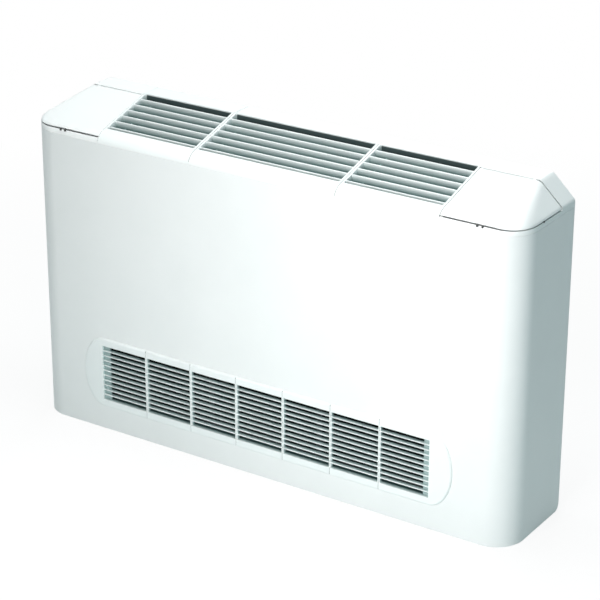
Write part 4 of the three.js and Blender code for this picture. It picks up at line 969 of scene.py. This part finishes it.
def stripes_effect():
    """Evenly spaced sheets or threads: the distance to the nearest one along X and along Z,
    each as a rounded ridge."""
    tree, start, end = effect("even_stripes", {"Per metre": 500.0},
                              ("Across X", "Across Z", "Woven"))
    apart = add(tree, "SeparateXYZ", {"Vector": start["Place"]})
    ridges = []
    for axis in ("X", "Z"):
        count = maths(tree, "MULTIPLY", apart.outputs[axis], start["Per metre"])
        turn = maths(tree, "MULTIPLY", count, 2 * math.pi)
        ridges.append(ramp(tree, maths(tree, "COSINE", turn), -1.0, 1.0))
    return finished(tree, end, Across_X=ridges[0], Across_Z=ridges[1],
                    Woven=maths(tree, "MAXIMUM", *ridges))


def painted_shade_effect():
    """Painted shade inside a grille, darker with depth: within a box given by two corners, a ramp
    of the distance along a direction that points into the grille."""
    tree, start, end = effect(
        "painted_depth_shade", {"Inward": (0.0, 1.0, 0.0), "Low": (0.0, 0.0, 0.0),
                         "High": (0.0, 0.0, 0.0), "Onset": 0.0, "Full": 0.01}, ("Dust",))
    above = vectors(tree, "SUBTRACT", start["Place"], start["Low"])
    below = vectors(tree, "SUBTRACT", start["High"], start["Place"])
    nearest = vectors(tree, "MINIMUM", above, below)
    apart = add(tree, "SeparateXYZ", {"Vector": nearest}).outputs
    least = maths(tree, "MINIMUM", maths(tree, "MINIMUM", apart[0], apart[1]), apart[2])
    inside = maths(tree, "GREATER_THAN", least, 0.0)
    depth = vectors(tree, "DOT_PRODUCT", start["Place"], start["Inward"])
    share = ramp(tree, depth, start["Onset"], start["Full"])
    return finished(tree, end, Dust=maths(tree, "MULTIPLY", share, inside))


GRAIN, SPANGLE, DRAWN, STRIPES = grain_effect(), spangle_effect(), drawn_effect(), stripes_effect()
PAINTED_SHADE = painted_shade_effect()


def surface(name, kind, values, colours, rough, bump, shade_layers=(), **constants):
    """A material led by one shared effect. `colours`, `rough` and `bump` each name an output of
    the effect: it mixes two colours, spreads the roughness between two values, and is the
    height of a bump of a given strength and depth in millimetres. Layers of painted shade lie
    over the colour, and `constants` are set on the shader itself."""
    material = bpy.data.materials.new(name)
    material.use_nodes = True
    tree = material.node_tree
    shader = tree.nodes["Principled BSDF"].inputs
    for label, value in constants.items():
        shader[label.replace("_", " ")].default_value = value
    at = add(tree, "TexCoord").outputs["Object"]
    masks = add(tree, "Group", {"Place": at, **values}, node_tree=kind).outputs
    colour = mixed(tree, masks[colours[0]], *colours[1:])
    # painted shade laid over the colour, layer by layer
    for tone, layer in shade_layers:
        share = add(tree, "Group", {"Place": at, **layer}, node_tree=PAINTED_SHADE).outputs["Dust"]
        colour = mixed(tree, share, colour, tone)
    relief = add(tree, "Bump", {"Height": masks[bump[0]], "Strength": bump[1],
                                "Distance": bump[2] * MM})
    tree.links.new(colour, shader["Base Color"])
    tree.links.new(ramp(tree, masks[rough[0]], 0.0, 1.0, *rough[1:]), shader["Roughness"])
    tree.links.new(relief.outputs[0], shader["Normal"])
    return material


def skin_finish(name, first, second, cells, depth, rough, shade_layers=(), **constants):
    """Sprayed or moulded skin: a slow drift between two tones and a fine grain, with painted
    shade of a given colour inside a grille."""
    return surface(name, GRAIN, {"Cells": cells, "Drift": 7.0}, ("Tone", first, second),
                   ("Tone", *rough), ("Height", 0.35, depth), shade_layers, **constants)


def drawn_finish(name, first, second, stretch, rough):
    """Bare metal with drawing lines, and a tarnish that darkens it in places."""
    return surface(name, DRAWN, {"Stretch": stretch}, ("Tarnish", first, second),
                   ("Lines", *rough), ("Lines", 0.3, 0.03), Metallic=1.0)


MOULDED = 1500.0, 0.03, (0.36, 0.46)      # grain, its depth and the gloss of white moulding
FINISHES = {
    "cabinet_paint": skin_finish("cabinet_paint", (0.815, 0.838, 0.832), (0.838, 0.858, 0.852),
                                 650.0, 0.045, (0.34, 0.42)),
    "white_moulding": skin_finish("white_moulding", (0.845, 0.865, 0.86), (0.865, 0.883, 0.877),
                                  *MOULDED),
    "galvanised": surface(       # crystals that differ in tone and in gloss
        "galvanised_sheet", SPANGLE, {"Crystals": 160.0},
        ("Tone", (0.47, 0.495, 0.505), (0.6, 0.625, 0.632)), ("Tone", 0.36, 0.48),
        ("Height", 0.15, 0.04), Metallic=0.85),
    "steel": drawn_finish("plated_steel", (0.56, 0.57, 0.58), (0.46, 0.47, 0.48),
                          (40.0, 1800.0, 1800.0), (0.22, 0.4)),
    "aluminium": drawn_finish("mill_aluminium", (0.76, 0.77, 0.78), (0.66, 0.67, 0.685),
                              (60.0, 1500.0, 1500.0), (0.28, 0.46)),
    "copper": drawn_finish("drawn_copper", (0.78, 0.40, 0.26), (0.46, 0.22, 0.14),
                           (1200.0, 1200.0, 90.0), (0.18, 0.38)),
    "brass": drawn_finish("turned_brass", (0.76, 0.58, 0.28), (0.55, 0.42, 0.2),
                          (300.0, 300.0, 2500.0), (0.18, 0.36)),
    "rubber": skin_finish("moulded_rubber", (0.018, 0.018, 0.019), (0.032, 0.032, 0.033),
                          900.0, 0.06, (0.6, 0.8)),
    "filter_mesh": surface(      # a woven net: threads both ways over holes, all near black as painted shade in the intake's gaps
        "filter_net", STRIPES, {"Per metre": 560.0},
        ("Woven", (0.001, 0.0015, 0.0015), (0.005, 0.007, 0.007)), ("Woven", 0.9, 0.55),
        ("Woven", 0.7, 0.25), Specular_IOR_Level=0.05),
    "grey_plastic": skin_finish("grey_moulding", (0.25, 0.275, 0.285), (0.29, 0.315, 0.325),
                                1300.0, 0.04, (0.42, 0.55)),
    "black_plastic": skin_finish("black_moulding", (0.02, 0.021, 0.023), (0.032, 0.033, 0.036),
                                 1300.0, 0.05, (0.38, 0.52)),
    "green_plastic": skin_finish("green_moulding", (0.055, 0.30, 0.11), (0.07, 0.34, 0.13),
                                 1500.0, 0.02, (0.2, 0.28), Coat_Weight=0.4),
}


def shade_layer(tone, inward, onset, full, low, high):
    """A layer of painted shade: its colour, the unit vector into the grille, the distances along it
    at which it starts and is full, and two corners of its box, in millimetres."""
    return tone, {"Inward": inward, "Onset": onset * MM, "Full": full * MM,
                  "Low": [value * MM for value in low], "High": [value * MM for value in high]}


def grille_finish(name, *layers):
    """The white moulding of a grille, a little less red as painted teal shade, with painted shade
    in its depth.
    """
    return skin_finish(name, (0.825, 0.865, 0.86), (0.845, 0.883, 0.877), *MOULDED, shade_layers=layers)


# Painted shade that deepens down into the outlet's slots and back into the intake's slots.
OUTLET_SLOT_SHADE, INTAKE_SLOT_SHADE = (0.2, 0.325, 0.32), (0.028, 0.068, 0.068)
OUTLET_SHADE = (0.05, 0.075, 0.075)       # painted shade on the far wall of the outlet
INTAKE_NOSE_SHADE = (0.7, 0.87, 0.86)           # painted pale teal shade from the back of the blades' noses inwards
INWARD, DOWNWARD = (0.0, 1.0, 0.0), (0.0, 0.0, -1.0)
DOWN_SLOPE = (0.0, math.sin(SLOPE), -math.cos(SLOPE))
SLOPE_START = SHELF_Y * math.sin(SLOPE) - HEIGHT * math.cos(SLOPE)
# Outlet moulding with painted shade down between the blades and on the far wall.
OUTLET_WHITE = grille_finish(
    "outlet_moulding",
    shade_layer(OUTLET_SLOT_SHADE, DOWN_SLOPE, SLOPE_START + 0.3, SLOPE_START + 12,
               (-SEAM_X, OUTLET_Y - 0.3, 500), (SEAM_X, OUTLET_END + 2.6, 580)),
    shade_layer(OUTLET_SHADE, DOWNWARD, 1.4 - HEIGHT, 2.6 - HEIGHT,
               (-SEAM_X, OUTLET_END - 0.6, 500), (SEAM_X, OUTLET_END + 2.6, HEIGHT - 1)))
SLOT_BOX = ((-SEAM_X - 0.1, FACE_Y - 1, SLOTS_LOW - 0.6),
            (SEAM_X + 0.1, FRONT_Y + 20, SLOTS_TOP + 0.6))
# Intake moulding with painted shade behind the blades' noses, darker deeper in.
INTAKE_WHITE = grille_finish(
    "intake_moulding",
    shade_layer(INTAKE_NOSE_SHADE, INWARD, FACE_Y + 1.9, FACE_Y + 3.0, *SLOT_BOX),
    shade_layer(INTAKE_SLOT_SHADE, INWARD, FACE_Y + 2.0, FACE_Y + 8.8, *SLOT_BOX))
FINS = surface(                  # stacked fins seen edge on: bright edges, with painted shade in the gaps between them
    "aluminium_fins", STRIPES, {"Per metre": 476.0},
    ("Across X", (0.05, 0.055, 0.06), (0.74, 0.76, 0.77)), ("Across X", 0.6, 0.35),
    ("Across X", 0.8, 0.6), Metallic=0.9)
MARKS = skin_finish("printed_white", (0.78, 0.8, 0.8), (0.84, 0.86, 0.86), 2500.0, 0.01, (0.5, 0.6))

# ---------------------------------------------------------------- pieces in place

WHITE = FINISHES["white_moulding"]


def white_piece(obj, body, node, finish=WHITE):
    """Puts a piece of white moulding on its body, in place of the CAD object it shows."""
    place(obj, body, finish, "white_moulding", node)


place(cabinet(), "chassis", FINISHES["cabinet_paint"], "cabinet_paint", "cabinet_shell")
for side, hand in ((-1, "left"), (1, "right")):
    white_piece(end_cap(f"head_end_{hand}", side), "chassis", f"end_cap_{hand}")
    white_piece(lid(f"lid_skin_{hand}", side), f"lid_{hand}", f"lid_{hand}")
for label, start, stop in zip(("left", "middle", "right"), OUTLET_EDGES, OUTLET_EDGES[1:]):
    white_piece(outlet_module(f"outlet_module_{label}", start, stop), "chassis",
                f"outlet_grille_{label}", finish=OUTLET_WHITE)
for index in range(MODULES):
    white_piece(intake_module(index), "intake_grille", f"intake_grille_{index + 1}",
                finish=INTAKE_WHITE)
for label, x in KNOBS.items():
    place(knob(f"{label}_dial", x), f"{label}_knob", FINISHES["black_plastic"], "black_plastic",
          f"{label}_knob")
    place(pointer(f"{label}_pointer", x), f"{label}_knob", MARKS, "white_moulding")
place(press_button(), "power_button", FINISHES["green_plastic"], "green_plastic", "power_button")
place(dial_marks(), "chassis", MARKS, "white_moulding")
place(head_gaskets(), "chassis", FINISHES["rubber"], "rubber")
place(lid_stops(), "chassis", FINISHES["rubber"], "rubber")
place(intake_gaskets(), "intake_grille", FINISHES["rubber"], "rubber")
place(screws([(x, z) for x in (-454, 0, 454) for z in (29, 507)]), "chassis",
      FINISHES["steel"], "steel")

SPECIAL = {"fin_block": FINS, "filter_frame": FINISHES["black_plastic"]}
slots = {piece["node"]: piece["material_slot"] for piece in frame["record"]["subparts"]}
for name, node in frame["nodes"].items():
    material = SPECIAL.get(name, FINISHES[slots[name]])
    if not node.material_slots:
        node.data.materials.append(material)
    for holder in node.material_slots:
        holder.material = material

# ---------------------------------------------------------------- studio and camera


FLOOR_SIZE, FLOOR_TONE = 40, (0.54, 0.62, 0.62)
SKY_TONE, SKY_LEVEL = (0.78, 1.0, 1.0), 0.13
WHITE_LIGHT = {"Color": (1, 1, 1, 1), "Strength": 1.0}
LAMPS = [                        # name, place, aim, size, watts, tint
    ("overhead", (0.0, 0.0, 2.0), (0.0, 0.0, 0.5), 1.2, 20.5, (0.98, 1.0, 1.0)),
    ("key", (0.46, -1.22, 0.98), (0.16, 0.0, 0.36), 0.6, 9.1, (1.0, 0.98, 0.98)),
    ("low_front", (0.36, -1.0, 0.42), (0.2, 0.0, 0.38), 0.5, 4.8, (1.0, 0.98, 0.98)),
    ("right", (1.9, 0.1, 1.1), (0.4, 0.0, 0.3), 0.8, 4.2, (0.62, 0.92, 1.0)),
    ("left", (-1.9, 0.1, 1.1), (-0.4, 0.0, 0.3), 0.8, 5.0, (0.8, 0.96, 1.0)),
    ("behind", (-0.5, 1.9, 1.2), (0.0, 0.0, 0.3), 1.0, 11.0, (0.95, 1.0, 1.0)),
]
CAMERA_AIM, CAMERA_FAR, LENS = Vector((0.02126, 0.00225, 0.29216)), 3.6197, 133.41
CAMERA_TURN, CAMERA_LIFT, CAMERA_ROLL = (math.radians(a) for a in (33.1, 23.42, 0.18))


def white_to_the_eye(tree, lit, bright, share):
    """Mixes a lit surface with a white one, which only camera, mirror and glass rays see."""
    path = add(tree, "LightPath").outputs
    seen = maths(tree, "ADD", path["Is Camera Ray"], path["Is Glossy Ray"])
    seen = maths(tree, "ADD", seen, path["Is Transmission Ray"], use_clamp=True)
    whiteness = maths(tree, "MULTIPLY", seen, share)
    return add(tree, "MixShader", {0: whiteness, 1: lit, 2: bright}).outputs[0], seen


def studio_floor():
    """A wide pale floor that keeps the object's shadow and reads white to the camera."""
    mesh = bpy.data.meshes.new("floor")
    corners = [(x * FLOOR_SIZE, y * FLOOR_SIZE, 0) for x, y in ((-1, -1), (1, -1), (1, 1), (-1, 1))]
    mesh.from_pydata(corners, [], [(0, 1, 2, 3)])
    material = bpy.data.materials.new("pale_floor")
    material.use_nodes = True
    tree = material.node_tree
    tree.nodes.clear()
    lit = add(tree, "BsdfDiffuse")
    bright = add(tree, "Emission", WHITE_LIGHT)
    away = vectors(tree, "LENGTH", add(tree, "TexCoord").outputs["Object"])
    share = ramp(tree, away, 0.7, 1.7, 0.86, 1.0)
    pale, seen = white_to_the_eye(tree, lit.outputs[0], bright.outputs[0], share)
    tree.links.new(mixed(tree, seen, FLOOR_TONE, (1, 1, 1)), lit.inputs["Color"])
    add(tree, "OutputMaterial", {"Surface": pale})
    mesh.materials.append(material)
    linked("floor", mesh)


def studio_light():
    """A pale cool surround, white where it is seen, and six soft lamps round the object."""
    world = bpy.data.worlds.new("studio")
    bpy.context.scene.world = world
    world.use_nodes = True
    tree = world.node_tree
    tree.nodes.clear()
    around = add(tree, "Background", {"Color": (*SKY_TONE, 1), "Strength": SKY_LEVEL})
    white = add(tree, "Background", WHITE_LIGHT)
    pale, _ = white_to_the_eye(tree, around.outputs[0], white.outputs[0], 1.0)
    add(tree, "OutputWorld", {"Surface": pale})
    for name, spot, aim, size, power, tint in LAMPS:
        lamp = bpy.data.lights.new(name, "AREA")
        lamp.shape, lamp.size, lamp.energy, lamp.color = "DISK", size, power, tint
        holder = linked(name, lamp)
        holder.visible_camera = False
        holder.location = spot
        holder.rotation_mode = "QUATERNION"
        holder.rotation_quaternion = (Vector(aim) - Vector(spot)).to_track_quat("-Z", "Y")


def camera():
    """The photograph's view: turned to the right and looking down, far off, long lens."""
    lens = bpy.data.cameras.new("camera")
    lens.sensor_width, lens.lens = 36.0, LENS
    lens.clip_start, lens.clip_end = 0.05, 200
    back = Vector((math.sin(CAMERA_TURN) * math.cos(CAMERA_LIFT),
                   -math.cos(CAMERA_TURN) * math.cos(CAMERA_LIFT), math.sin(CAMERA_LIFT)))
    holder = linked("camera", lens)
    holder.location = CAMERA_AIM + back * CAMERA_FAR
    holder.rotation_mode = "QUATERNION"
    holder.rotation_quaternion = (-back).to_track_quat("-Z", "Y") @ Quaternion(
        (0, 0, 1), CAMERA_ROLL)
    bpy.context.scene.camera = holder


studio_floor()
studio_light()
camera()
bpy.context.scene.view_settings.view_transform = "Standard"
